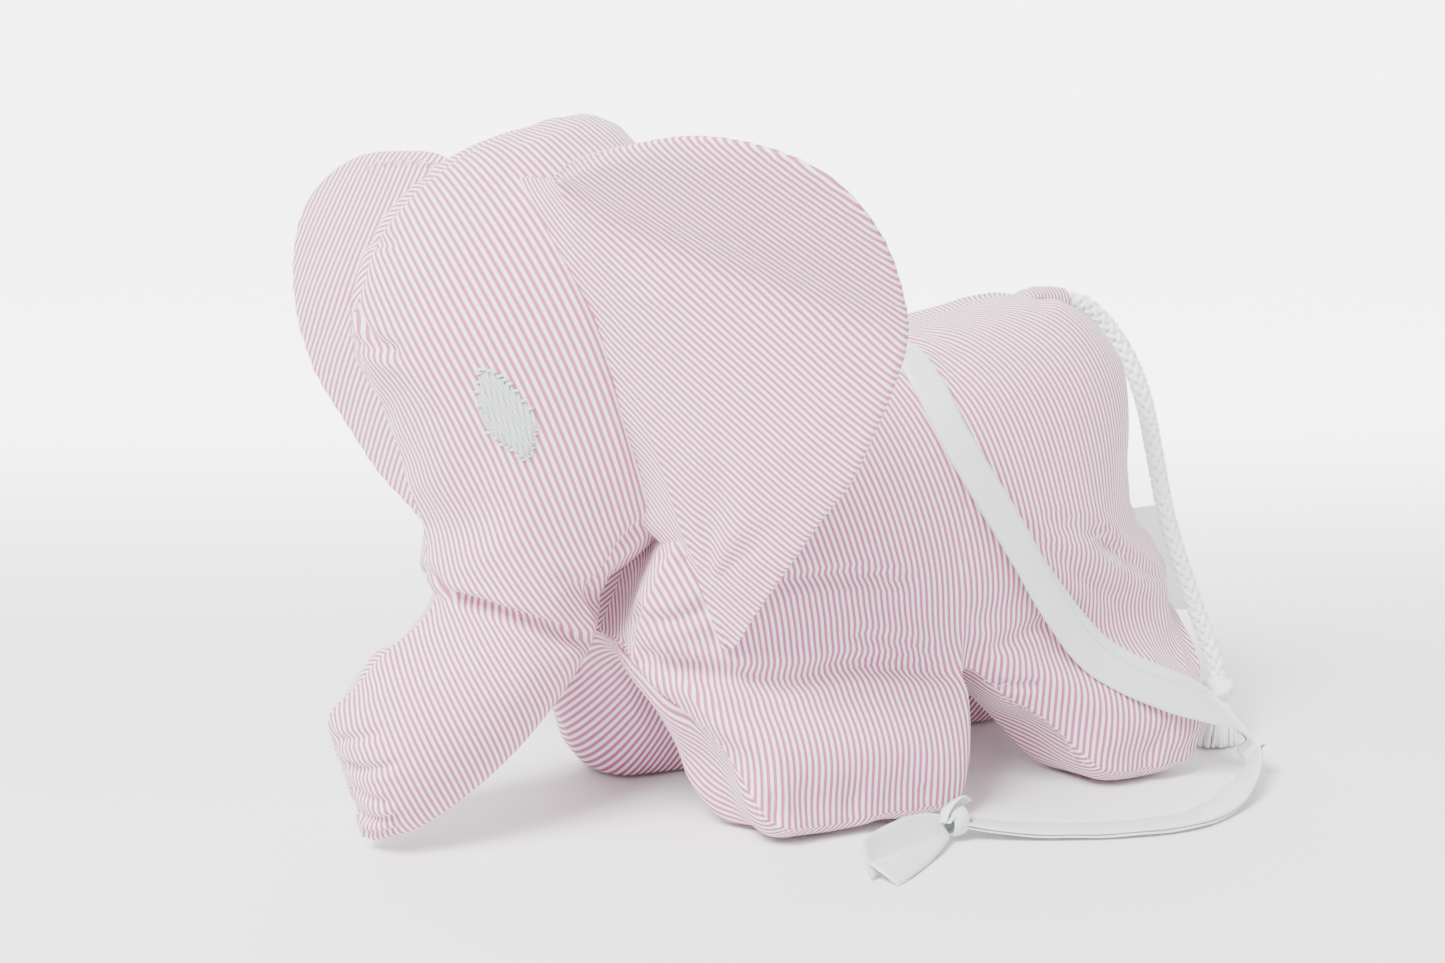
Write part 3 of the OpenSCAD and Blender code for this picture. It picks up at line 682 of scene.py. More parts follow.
def ear_lift(p, q, curl):
    """Height of the ear above its flat pattern: a flap bent at the valley, and small folds from its root."""
    v = unit(VALLEY[1] - VALLEY[0])
    d = (p - VALLEY[0][0]) * v[1] - (q - VALLEY[0][1]) * v[0]
    along = ((p - VALLEY[0][0]) * v[0] + (q - VALLEY[0][1]) * v[1]) / np.linalg.norm(VALLEY[1] - VALLEY[0])
    fade = smoothstep(-0.05, 0.2, along) * (1 - smoothstep(0.8, 1.2, along))
    bend = 3.5 * math.log1p(math.exp(min(d / 3.5, 40)))
    lift = 0.085 * curl * bend - 0.45 * abs(curl) * math.exp(-((d / 7.0) ** 2)) * fade
    # small folds that run out from the seam at the head, and others that gather above its lower end
    for q0, lean, length, height in ((30, 0.25, 16, 0.9), (35.5, 0.1, 12, -0.8), (41, 0.3, 18, 0.7),
                                     (62, 0.1, 9, 0.5)):
        off = q - q0 - lean * p
        lift += height * math.exp(-((off / 1.8) ** 2)) * math.exp(-((p / length) ** 2))
    r = math.hypot(p, q - 120)
    turn = math.atan2(120 - q, max(p, 0.01))
    fan = math.sin(turn * 9 + 0.6) * math.exp(-(((r - 20) / 15) ** 2))
    return lift + 1.1 * fan * float(smoothstep(0.3, 0.7, turn))


def ear_frame(fold, angle):
    """Directions of an ear at rest: outward from its fold, and out of its front."""
    a = math.radians(angle)
    d = np.array([math.cos(a), -math.sin(a), 0])
    out = unit(d - (d @ fold) * fold)
    return out, np.cross(fold, out)


# the stripes' angle on an ear in degrees, and about how long its free edge is, for the gathers along it
EAR_GRAIN, EAR_EDGE = 56, 265


def build_ear(name, fold, angle, curl, reach, side, wave_seed, weave):
    # rings from the top of the fold to the bottom; points across each ring in the ear and in its sewn strip
    ns, nu, nb = 150, 56, 8
    out, front = ear_frame(fold, angle)
    outline = smooth_line(EAR_OUTLINE, 12)
    step = np.linalg.norm(outline[1:] - outline[:-1], axis=1)
    along = np.concatenate([[0], np.cumsum(step)]) / step.sum()
    phases = np.random.default_rng(wave_seed).uniform(0, 6.28, 6)
    verts, uvs = [], []
    for i in range(ns + 1):
        s = i / ns
        o = np.array([reach * np.interp(s, along, outline[:, 0]), np.interp(s, along, outline[:, 1])])
        qf = -3.5 + 142.5 * s**2.1
        f = np.array([0.0, qf])
        h = FOLD_TOP + qf * fold
        x = curve(ROOT_X, h[2])
        root = np.array([x, head_side_y(x, h[2]) + 2.5, h[2]])
        free = float(smoothstep(100, 116, qf))
        root = mix(root, h - 1.6 * out, free)
        base_len = np.linalg.norm(h - root)
        mid = []
        for k in range(nb):
            t = k / nb
            # the strip leaves the head and turns into the ear with no corner
            mid.append((mix(root, h, t), -base_len * (1 - t), qf, 0.9, 0.0))
        for k in range(nu + 1):
            u = k / nu
            p, q = f + u * (o - f)
            edge = np.linalg.norm(o - np.array([p, q]))
            span = np.linalg.norm(o - f)
            lift = float(ear_lift(p, q, curl)) * float(smoothstep(0, 0.25, u))
            arc = s * EAR_EDGE
            gather = math.exp(-edge / 6.0) * 0.45 * (
                math.sin(arc * 0.86 + phases[0])
                + 0.7 * math.sin(arc * 1.31 + phases[1]) * math.sin(arc * 0.11 + phases[2]))
            slow = 0.9 * math.sin(arc * 0.055 + phases[3]) * float(smoothstep(20, 80, p))
            half = 0.55 + 2.2 * math.sqrt(max(0.0, min(1.0, edge / 16))) * min(1, span / 30)
            half *= 0.35 + 0.65 * float(smoothstep(0, 25, p + 4))
            point = FOLD_TOP + q * fold + p * out + (lift + slow) * front
            mid.append((point, p, q, half, gather))
        verts.append([point + (half + 0.5 * push) * front for point, _, _, half, push in mid]
                     + [point - (half - 0.5 * push) * front for point, _, _, half, push in mid[::-1]])
        flat = [(p, q) for _, p, q, _, _ in mid]
        uvs.append(flat + flat[::-1])
    g = np.array(verts)
    n, m = g.shape[:2]
    # round the way from the strip into the ear, on the front layer and on the back one
    for _ in range(6):
        for first, last, middle in ((1, m // 2 - 2, nb), (m // 2 + 2, m - 1, m - 1 - nb)):
            share = np.exp(-(((np.arange(first, last) - middle) / 4.0) ** 2))[None, :, None]
            beside = 0.5 * (g[:, first - 1 : last - 1] + g[:, first + 1 : last + 1])
            g[:, first:last] = mix(g[:, first:last], beside, share)
    caps = [(base + j, base + j + 1, base + m - 2 - j, base + m - 1 - j)
            for base in (0, (n - 1) * m) for j in range(m // 2 - 1)]
    ob = make_object(name, g.reshape(-1, 3) * [1, side, 1], grid_faces(n, m) + caps, COTTON)
    face_outward(ob)
    p, q = np.array(uvs).reshape(-1, 2).T
    grain = math.radians(EAR_GRAIN)
    across = -p * math.sin(grain) + q * math.cos(grain)
    down = p * math.cos(grain) + q * math.sin(grain)
    set_pattern(ob, np.column_stack([across, down]) * weave * MM)
    # two points of the ear, just inside its fold and just outside it, in metres
    return ob, (FOLD_TOP - 2.0 * out) * [1, side, 1] * MM, (FOLD_TOP + 5.0 * out) * [1, side, 1] * MM


# ---- Body skins ----
def seam_weights(n, m, columns):
    """How strongly each point of a skin gathers: fully on a seam, and partly beside it."""
    w = np.zeros((n, m))
    for j in columns:
        w[:, j] = 1.0
        w[:, (j + 1) % m] = w[:, j - 1] = 0.3
    return w


torso, torso_g, torso_panel, torso_seams, torso_ref = build_torso()
tn, tm = torso_g.shape[:2]
seam_w = seam_weights(tn, tm, (N_HALF, tm - N_HALF))
# the spine gathers less, and the rear end is a seam all round
seam_w[:, 0] = 0.5
seam_w[-1] = 1
at_neck = np.abs(torso_g[:, :, 2] - (neck_z(torso_g[:, :, 0]) - NECK_GAP)) < 0.6
pin_w = np.where(at_neck, 1.0, 0.0)
pin_w[0] = 1
simulate(torso, (tn, tm), pin_w.ravel(), seam_w.ravel())
co = get_co(torso)
co[:, 2] = np.maximum(co[:, 2], 0.0)
set_co(torso, co)
mark_seams(torso, torso_seams)
torso_lean = (-5, 12, 0.52)
flatten(torso, {0: 0, 1: 15, 2: 0, 3: 0}, torso_panel, torso_ref, {0: torso_lean, 2: torso_lean})

head, head_g, head_panel, head_seams, head_ref = build_head()
hn, hm = head_g.shape[:2]
seam_w = seam_weights(hn, hm, (0, hm // 2))
seam_w[0] = 1
at_neck = (head_g[:, :, 2] < 160) & (head_g[:, :, 0] > neck_x(head_g[:, :, 2]) - 0.5)
simulate(head, (hn, hm), np.where(at_neck, 1.0, 0.0).ravel(), seam_w.ravel())
mark_seams(head, head_seams)
trunk_lean = (-20, -8, 0.42)
flatten(head, {0: 20, 1: 20, 2: 0}, head_panel, head_ref, {0: trunk_lean, 1: trunk_lean})

for ob in (torso, head):
    subdivide(ob)


# ---- Folds and puckers: lines on the near side, which the far side has too, but shallower ----
DEEPEST_FOLD, HIGHEST_LIP = 3.6, 1.5


def press_folds(ob, folds):
    """Presses folds into a skin: each is its line, its depth and width, and the height of its lip."""
    bvh = surface(ob)
    co, normals = get_co(ob), read(ob.data.vertices, "normal", size=3)
    shift = np.zeros(len(co))
    for line, depth, width, lip in folds:
        for side in (1, -1):
            pts = smooth_line(np.array(line, float) * [1, side, 1], 5)
            pts = np.array([bvh.find_nearest(Vector(p))[0] for p in pts])
            low, high = pts.min(axis=0) - 4 * width, pts.max(axis=0) + 4 * width
            near = np.nonzero(((co > low) & (co < high)).all(axis=1))[0]
            if len(near) == 0:
                continue
            d, along = line_distance(co[near], pts)
            fade = smoothstep(-0.02, 0.2, along) * (1 - smoothstep(0.8, 1.02, along))
            if side < 0:
                fade = fade * 0.8
            shift[near] += fade * (-depth * np.exp(-((d / width) ** 2))
                                   + lip * np.exp(-(((d - 2.3 * width) / (1.2 * width)) ** 2)))
    co += normals * np.clip(shift, -DEEPEST_FOLD, HIGHEST_LIP)[:, None]
    co[:, 2] = np.maximum(co[:, 2], 0.0)
    set_co(ob, co)


press_folds(head, [
    # the bend of the trunk, and the softer fold above it
    ([[-122, 0, 81], [-119, -5, 80], [-115, -9, 77], [-109, -16, 75], [-101, -22, 71], [-92, -25, 66],
      [-82, -22, 61], [-76, -14, 58]], 4.6, 2.0, 0.9),
    ([[-93, -29, 85], [-84, -26, 79], [-76, -18, 72], [-72, -10, 69]], 1.8, 2.6, 0.4),
    # the forehead
    ([[-141, 0, 162], [-138, -4, 155], [-135, -10, 150], [-131, -18, 148]], 2.2, 1.7, 0.5),
    ([[-140, 0, 150], [-137, -6, 148], [-130, -16, 147]], 1.6, 1.5, 0.6),
    ([[-134, 0, 177], [-132, -4, 176], [-128, -11, 176]], 1.3, 1.5, 0.3),
    ([[-118, 0, 195], [-115, -6, 192], [-112, -12, 188]], 0.8, 2.0, 0.2),
    # beside the neck
    ([[-66, -24, 100], [-73, -26, 91], [-77, -25, 83], [-77, -20, 74]], 2.2, 2.2, 0.4),
    # where the ear is sewn on
    ([[-98.5, -33, 190], [-92.5, -37, 178], [-87, -40, 166], [-82, -41, 154], [-77.5, -42, 141],
      [-73, -41, 127], [-69, -38, 115], [-65, -33, 103]], 1.7, 1.9, 0.3),
    # gathers at the hand-sewn end of the trunk
    ([[-149, -1, 36], [-143, -8, 37], [-137, -14, 39]], 1.3, 1.3, 0.4),
    ([[-149, -1, 28], [-142, -10, 29], [-134, -17, 31]], 1.5, 1.4, 0.4),
    ([[-149, -1, 20], [-142, -10, 20], [-136, -15, 19]], 1.2, 1.3, 0.4),
    ([[-148, -1, 12], [-142, -9, 12], [-134, -16, 14]], 1.5, 1.4, 0.4),
    ([[-144, -1, 5], [-140, -8, 6], [-134, -13, 8]], 1.1, 1.3, 0.4),
])
press_folds(torso, [
    # over the front leg
    ([[-64, -24, 56], [-56, -31, 54], [-47, -38, 51], [-37, -42, 49], [-26, -44, 48], [-16, -44, 48],
      [-6, -45, 50], [10, -45, 48], [23, -46, 45], [37, -42, 38]], 2.6, 2.6, 0.8),
    ([[-6, -45, 60], [7, -45, 56], [18, -46, 53], [30, -46, 48]], 1.7, 2.0, 0.5),
    ([[-34, -44, 78], [-15, -46, 78], [0, -45, 77], [20, -45, 73]], 1.9, 1.8, 0.6),
    ([[-64, -22, 63], [-59, -31, 69], [-51, -38, 73], [-42, -43, 76]], 2.0, 2.0, 0.5),
    ([[-63, -26, 62], [-52, -34, 55], [-44, -39, 53], [-33, -43, 50]], 1.4, 2.2, 0.3),
    ([[-58, -32, 84], [-48, -40, 86], [-38, -44, 88]], 1.4, 2.2, 0.4),
    # the front edge of the leg, from the chest down
    ([[-66, -16, 60], [-61, -24, 52], [-55, -31, 43], [-50, -36, 32]], 2.4, 2.6, 0.5),
    ([[-36, -58, 5], [-35, -56, 11], [-37, -56, 19]], 1.3, 1.5, 0.4),
    ([[-10, -58, 5], [-9, -57, 14]], 0.6, 2.2, 0.2),
    ([[16, -58, 5], [14, -57, 14]], 0.7, 2.2, 0.2),
    # hind leg and rump
    ([[50, -43, 38], [56, -47, 37], [63, -50, 37]], 1.3, 1.3, 0.4),
    ([[44, -40, 46], [52, -44, 50], [62, -46, 53], [74, -48, 55]], 1.6, 2.6, 0.4),
    ([[80, -43, 86], [89, -41, 80], [99, -38, 73], [111, -31, 65], [122, -22, 58]], 1.6, 2.2, 0.5),
    ([[47, -46, 90], [64, -45, 80], [80, -44, 69], [97, -39, 58], [110, -34, 51]], 1.0, 2.6, 0.3),
    ([[60, -45, 89], [77, -44, 84], [92, -41, 77], [106, -35, 69]], 1.1, 2.2, 0.4),
    ([[118, -3, 136], [112, -12, 135], [106, -22, 134]], 1.5, 2.0, 0.4),
    ([[134, -2, 74], [127, -14, 76], [118, -24, 80]], 1.5, 2.0, 0.4),
    ([[98, -57, 7], [104, -57, 14], [110, -57, 21]], 0.8, 2.4, 0.2),
    ([[116, -57, 8], [120, -56, 15]], 0.6, 2.2, 0.2),
    ([[40, -8, 145], [41, -20, 143], [44, -31, 136]], 0.7, 3.0, 0.2),
    ([[88, -6, 153], [84, -14, 152], [78, -24, 148]], 0.8, 2.2, 0.3),
])

ears = {name: build_ear("ear_%s_skin" % name, **shape) for name, shape in EARS.items()}

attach(torso, "body")
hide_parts("torso_side_left", "torso_side_right", "belly_gusset", "torso_stuffing")
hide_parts("head_side_left", "head_side_right", "head_stuffing", "trunk_side_left", "trunk_side_right",
            "trunk_stuffing")
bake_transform(head)
for name, (ob, start, end) in ears.items():
    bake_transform(ob)
    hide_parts(*("ear_%s_%s" % (name, k) for k in ("base", "front", "back", "wadding")))


# ---- Stitches: short threads across a line on a skin ----
def stitch_row(bvh, line, spacing, length, slant, radius, lift=0.1):
    pts = smooth_line(line, 10)
    run = run_along(pts)
    parts = []
    for k in range(int(run[-1] / spacing)):
        at = (k + 0.5) * spacing + rng.uniform(-0.12, 0.12) * spacing
        p = np.array([np.interp(at, run, pts[:, i]) for i in range(3)])
        q = np.array([np.interp(at + 0.5, run, pts[:, i]) for i in range(3)])
        along = unit(q - p)
        hit = bvh.find_nearest(Vector(p))
        normal = np.array(hit[1])
        across = unit(np.cross(normal, along))
        lean = math.radians(slant + rng.uniform(-6, 6))
        way = math.cos(lean) * across + math.sin(lean) * along
        route = []
        for t in np.linspace(-0.5, 0.5, 7):
            near = bvh.find_nearest(Vector(np.array(hit[0]) + way * t * length))
            up = lift + radius * (1 - (2 * t) ** 4) - radius * (2 * t) ** 4
            route.append(np.array(near[0]) + np.array(near[1]) * up)
        parts.append(tube(route, radius * np.array([0.6, 1, 1, 1, 1, 1, 0.6]), 6, normal))
    return parts


def stitches(name, parts, body):
    ob = make_object(name, *join_parts(parts), SEWING)
    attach(ob, body)


torso_bvh, head_bvh = surface(torso), surface(head)
HIND_SEAM = [[49, -40, 41], [54, -43, 34], [60, -46, 26], [69, -50, 16], [77, -52, 7]]
FRONT_SEAM = [[-68, 8, 58], [-68, 24, 48], [-66, 38, 34], [-62, 50, 16]]
both = []
for side in (1, -1):
    flip = np.array([1, side, 1])
    # the seam down the front of the hind leg, closed by hand
    both += stitch_row(torso_bvh, np.array(HIND_SEAM) * flip, 1.9, 2.4, 8, 0.2)
    # the seam inside the front leg
    both += stitch_row(torso_bvh, np.array(FRONT_SEAM) * flip, 2.6, 1.6, 10, 0.16)
stitches("leg_seam_stitches", both, "body")
TIP_SEAM = [[-148, 0, 37], [-149.5, 0, 28], [-149.5, 0, 19], [-147.5, 0, 10], [-143, 0, 4]]
stitches("trunk_tip_stitches", stitch_row(head_bvh, TIP_SEAM, 1.7, 2.6, 12, 0.2), "trunk")


TOP_EDGE = [(3, -3.6), (9, -6.3), (17, -7.6), (26, -8.0), (36, -8.1), (46, -7.6)]
for name, shape in EARS.items():
    fold, side = shape["fold"], shape["side"]
    out = ear_frame(fold, shape["angle"])[0]
    edge = np.array([(FOLD_TOP + p * out + q * fold) * [1, side, 1] for p, q in TOP_EDGE])
    row = stitch_row(surface(ears[name][0]), edge, 1.9, 2.6, 30, 0.24, lift=0.05)
    stitches("ear_%s_edge_stitches" % name, row, "ear_" + name)


# ---- Embroidered eyes: satin stitch along a pointed leaf, with the needle points left showing ----
EYE_CENTRE, EYE_SIZE, EYE_THREADS = np.array([-107.2, 130.6]), 0.88, 28


def build_eye(name, cad_node, side):
    lean = math.radians(20)
    t_dir = np.array([math.sin(lean), -math.cos(lean)])
    n_dir = np.array([math.cos(lean), math.sin(lean)])
    # where the threads start and end, across the leaf
    upper = [[-6.9, -0.5], [-5.7, -6.9], [-4.1, -12.2], [-2.6, -15.6], [0.2, -14.5], [2, -11.6], [4.5, -7.2],
             [6, -1.6], [7.6, 3]]
    lower = [[-6.9, 2], [-5.3, 5], [-4.1, 8.6], [-2, 11.6], [-0.7, 14.3], [1.1, 15.5], [3.2, 13.8],
             [5.1, 10.4], [7.6, 6]]

    def on_head(v, n):
        xz = EYE_CENTRE + EYE_SIZE * (t_dir * v + n_dir * n)
        hit = head_bvh.ray_cast(Vector((xz[0], -90 * side, xz[1])), Vector((0, side, 0)))
        return np.array(hit[0]), np.array(hit[1])

    parts = []
    for k in range(EYE_THREADS):
        n = mix(-6.6, 7.4, (k + 0.5) / EYE_THREADS)
        step = mix(-6.6, 7.4, (2 * (k // 2) + 1) / EYE_THREADS)
        a, b = curve(upper, step) + rng.uniform(-0.25, 0.25), curve(lower, step) + rng.uniform(-0.4, 0.4)
        route, radii = [], []
        for v in np.linspace(a, b, 17):
            e = min(v - a, b - v)
            place, normal = on_head(v, n + 0.12 * math.sin(v * 0.7 + k * 1.9))
            height = 0.62 * float(smoothstep(0, 2.2, e)) - 0.12 + 0.17 * math.sin(k * 2.4)
            route.append(place + normal * height)
            radii.append(0.3 * (0.75 + 0.25 * float(smoothstep(0, 1, e))))
        parts.append(tube(route, radii, 6, (0, -side, 0)))
        # the needle points: a small raised stitch over the ends of each pair of threads
        if k % 2 == 0:
            continue
        for v, reach in ((a - 0.3, 1.0), (b + 0.2, 0.6 if n > 0 else 0.9)):
            spot = []
            for d in (-1, 0, 1):
                place, normal = on_head(v + 0.15 * d, step + 0.75 * reach * d)
                spot.append(place + normal * (0.62 - 0.42 * abs(d)))
            parts.append(tube(smooth_line(spot, 3), 0.44 * reach, 6, (0, -side, 0)))
    ob = make_object(name, *join_parts(parts), THREAD)
    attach(ob, "body")
    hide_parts(cad_node)


build_eye("eye_left_stitches", "eye_left", 1)
build_eye("eye_right_stitches", "eye_right", -1)


# ---- Tail: a striped tab that holds a braided cord, with its end knotted into a tassel ----
TAIL = np.array([[105, 0, 151], [112, -1, 149], [120, -3, 141.5], [127, -6, 130], [131.5, -9, 116],
                 [134.5, -12, 98], [138.5, -15, 76], [145, -20, 52], [149.5, -27, 32], [150, -31, 20]])
# between two points of a braided strand, and for one turn of it
BRAID_STEP, BRAID_PITCH = 0.85, 17.0
TASSEL_STRANDS, GOLDEN_ANGLE = 90, 2.39996


def even_route(points, spacing):
    pts = smooth_line(points, 16)
    run = run_along(pts)
    at = np.linspace(0, run[-1], int(run[-1] / spacing) + 1)
    return np.column_stack([np.interp(at, run, pts[:, i]) for i in range(3)]), run[-1]


def build_tail():
    # the cord starts inside the tab
    route, length = even_route(np.vstack([[98.5, 0, 151.6], TAIL]), BRAID_STEP)
    frames = carried_frames(route, (0, 0, 1))
    parts = [tube(route, 1.7, 10)]
    for family in (1, -1):
        for j in range(4):
            strand = []
            for i, (_, a, b) in enumerate(frames):
                turn = i * BRAID_STEP / BRAID_PITCH
                ang = family * 2 * math.pi * turn + j * math.pi / 2 + (0.0 if family > 0 else 0.02)
                r = 2.0 + family * 0.36 * math.cos(8 * math.pi * turn)
                strand.append(route[i] + r * (math.cos(ang) * a + math.sin(ang) * b))
            parts.append(tube(strand, 0.98, 7))
    cord = make_object("tail_braid", *join_parts(parts), CORD)
    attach(cord, "tail")
    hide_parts("tail_cord")

    # the knot: the cord passed twice round itself
    end = TAIL[-1]
    parts = []
    loop = []
    for t in np.linspace(0, 2 * math.pi, 90):
        r = 3.4 + 1.1 * math.cos(3 * t)
        loop.append(end + [r * math.cos(2 * t), r * math.sin(2 * t), 1.7 * math.sin(3 * t) - 0.6])
    parts.append(tube(loop, 1.75, 10))
    core = end + np.array([[0, 0, 3.5], [0, 0, 1], [0, 0, -2], [0, 0, -4.5]])
    parts.append(tube(core, [2.2, 3.4, 3.4, 2.4], 12, (1, 0, 0)))
    knot = make_object("tail_knot_wraps", *join_parts(parts), CORD)
    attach(knot, "tail")
    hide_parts("tail_knot")

    # the tassel: the unlaid strands, pressed out on the ground
    parts = []
    for k in range(TASSEL_STRANDS):
        ang = k * GOLDEN_ANGLE
        share = math.sqrt((k + 0.5) / TASSEL_STRANDS)
        foot = np.array([math.cos(ang) * 8.6 * share - 1.5, math.sin(ang) * 7.6 * share, 0.0])
        top = np.array([math.cos(ang), math.sin(ang), 0]) * 2.4 * share
        bend = rng.uniform(-0.8, 0.8, 3)
        low = 0.8 + 1.2 * rng.uniform(0, 1) * (1 - share)
        zs = [end[2] - 2, 14.5, 9.5, 5, low]
        strand = [np.array([end[0], end[1], z]) + mix(top, foot, f) + bend * w
                  for z, f, w in zip(zs, (0, 0.25, 0.62, 0.9, 1.0), (0, 0.3, 0.8, 0.6, 0))]
        parts.append(tube(smooth_line(strand, 3), 0.72, 5, (1, 0, 0)))
    tassel = make_object("tail_tassel_strands", *join_parts(parts), CORD)
    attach(tassel, "tail")
    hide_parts("tail_tassel")


build_tail()


# the tab's stripes are this much closer together than the body's
TAB_WEAVE = 1.45


def build_tab():
    """A strip of the cotton rolled round the cord's end and sewn down on the back."""
    sides, rows, uvs = 28, [], []
    # x, z, half width and half height
    places = [(82, 152.6, 3.2, 0.5), (85, 152.8, 4.6, 1.0), (88, 153.0, 5.0, 2.2), (91.5, 152.8, 4.9, 3.2),
              (95, 152.2, 4.7, 3.8), (99, 151.7, 4.5, 4.1), (102.5, 151.2, 4.4, 4.2),
              (103.3, 151.1, 3.9, 3.7), (102.4, 151.2, 3.3, 3.2), (98, 151.7, 3.2, 3.1)]
    dense = smooth_line(places, 4)
    out = 0.0
    for i, (x, z, w, h) in enumerate(dense):
        out += np.linalg.norm(dense[i] - dense[i - 1]) if i else 0
        row = []
        for k in range(sides):
            a = 2 * math.pi * k / sides
            crinkle = 0.12 * math.sin(5 * a + 0.9 * x) * float(smoothstep(82, 90, x))
            row.append([x + 0.25 * math.sin(2 * a), (w + crinkle) * math.cos(a),
                        z + (h + crinkle) * math.sin(a)])
            uvs.append((out, a * 4.4))
        rows.append(row)
    faces = grid_faces(len(rows), sides) + end_caps(len(rows), sides)
    ob = make_object("tail_tab_cloth", np.array(rows).reshape(-1, 3), faces, COTTON)
    face_outward(ob)
    set_pattern(ob, np.array(uvs) * MM * TAB_WEAVE)
    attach(ob, "body")
    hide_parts("tail_tab")


build_tab()


# ---- Label: a short woven strip caught in the rear seam, left blank ----
# the label's top and bottom: the height, the sewn edge's x and the free edge's x
LABEL_TOP, LABEL_LOW = (77.5, 130, 151.5), (39.5, 140, 160)


def build_label():
    nu, nv, thick = 14, 22, 0.3
    rows = []
    for j in range(nv + 1):
        v = j / nv
        z, x0, x1 = (mix(top, low, v) for top, low in zip(LABEL_TOP, LABEL_LOW))
        row = []
        for i in range(nu + 1):
            u = i / nu
            y = 1.3 * math.sin(2.6 * u + 1.5 * v) * u + 0.5 * math.sin(5 * v) * u
            row.append([mix(x0, x1, u), y, z + 0.4 * math.sin(3 * u)])
        rows.append([np.array(p) + [0, -thick / 2, 0] for p in row]
                    + [np.array(p) + [0, thick / 2, 0] for p in row[::-1]])
    g = np.array(rows)
    n, m = g.shape[:2]
    ob = make_object("blank_label", g.reshape(-1, 3), grid_faces(n, m) + end_caps(n, m), TAPE, smooth=False)
    face_outward(ob)
    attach(ob, "body")
    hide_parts("seam_label")


build_label()


# ---- Ribbon: two strands laid on each other, tied at their far end ----
RIBBON = [
    [[18, 0, 142.3], [1, 0, 0]], [[20, -14, 143.5], [1, 0.1, 0]], [[23, -28, 141.5], [1, 0.1, 0.1]],
    [[25, -40, 131.5], [1, -0.1, 0.2]], [[31, -47.5, 115], [0.9, 0, 0.3]],
    [[47, -50.5, 90], [0.83, 0, 0.55]], [[63, -50.5, 68], [0.78, 0, 0.62]],
    [[80, -50.5, 49], [0.72, 0.05, 0.68]], [[92, -53.5, 40], [0.6, 0.2, 0.78]],
    [[105, -57.5, 33.5], [0.45, 0.3, 0.85]], [[118, -60, 27.5], [0.3, 0.5, 0.85]],
    [[129, -60.5, 20.5], [0.25, 0.8, 0.6]], [[135.5, -62, 13.5], [0.3, 0.8, 0.45]],
    [[135, -66, 8.2], [0.5, 0.2, 0.85]], [[128, -72, 5.5], [0.75, -0.3, 0.6]],
    [[118.5, -79, 4.2], [0.7, -0.65, 0.3]], [[108, -85, 2.2], [0.5, -0.85, 0.05]],
    [[97, -89, 1.6], [0.3, -0.95, 0]], [[86, -91, 1.6], [0, -1, 0]], [[70, -89, 1.6], [-0.3, -0.95, 0]],
    [[52, -83, 1.6], [-0.4, -0.9, 0]], [[34, -75, 2.6], [-0.4, -0.9, 0]],
    [[20, -68.5, 5], [-0.45, -0.88, 0.1]]]


def strap(route, across, width, thick, lift, slide, cup=0.35, wave=0.0, taper=None):
    """A thin band: a rounded flat section carried along a route. slide shifts it sideways as it goes."""
    nu = 8
    route = np.asarray(route, float)
    n = len(route)
    tangent = np.gradient(route, axis=0)
    verts, uvs, run = [], [], 0.0
    for i in range(n):
        t = unit(tangent[i])
        a = unit(across[i] - (across[i] @ t) * t)
        up = np.cross(a, t)
        if i:
            run += np.linalg.norm(route[i] - route[i - 1])
        w = width * (taper[i] if taper is not None else 1)
        mid = route[i] + lift * up + slide[i] * a
        ring, tex = [], []
        for sign, order in ((1, range(nu + 1)), (-1, range(nu, -1, -1))):
            for k in order:
                u = 2 * k / nu - 1
                edge = math.sqrt(max(0.0, 1 - u**4)) * 0.5 + 0.12
                bow = cup * (u * u - 0.4) + wave * math.sin(run * 0.33 + u * 1.3)
                ring.append(mid + u * w / 2 * a + (bow + sign * thick * edge) * up)
                tex.append((run, u * w / 2))
        verts.append(ring)
        uvs.append(tex)
    g = np.array(verts)
    m = g.shape[1]
    return g.reshape(-1, 3).tolist(), grid_faces(n, m) + end_caps(n, m), np.array(uvs).reshape(-1, 2)


def band(name, straps):
    """One satin piece made of several straps."""
    ob = make_object(name, *join_parts([(verts, faces) for verts, faces, _ in straps]), SATIN)
    face_outward(ob)
    set_pattern(ob, np.concatenate([uv for _, _, uv in straps]) * MM)
    return ob


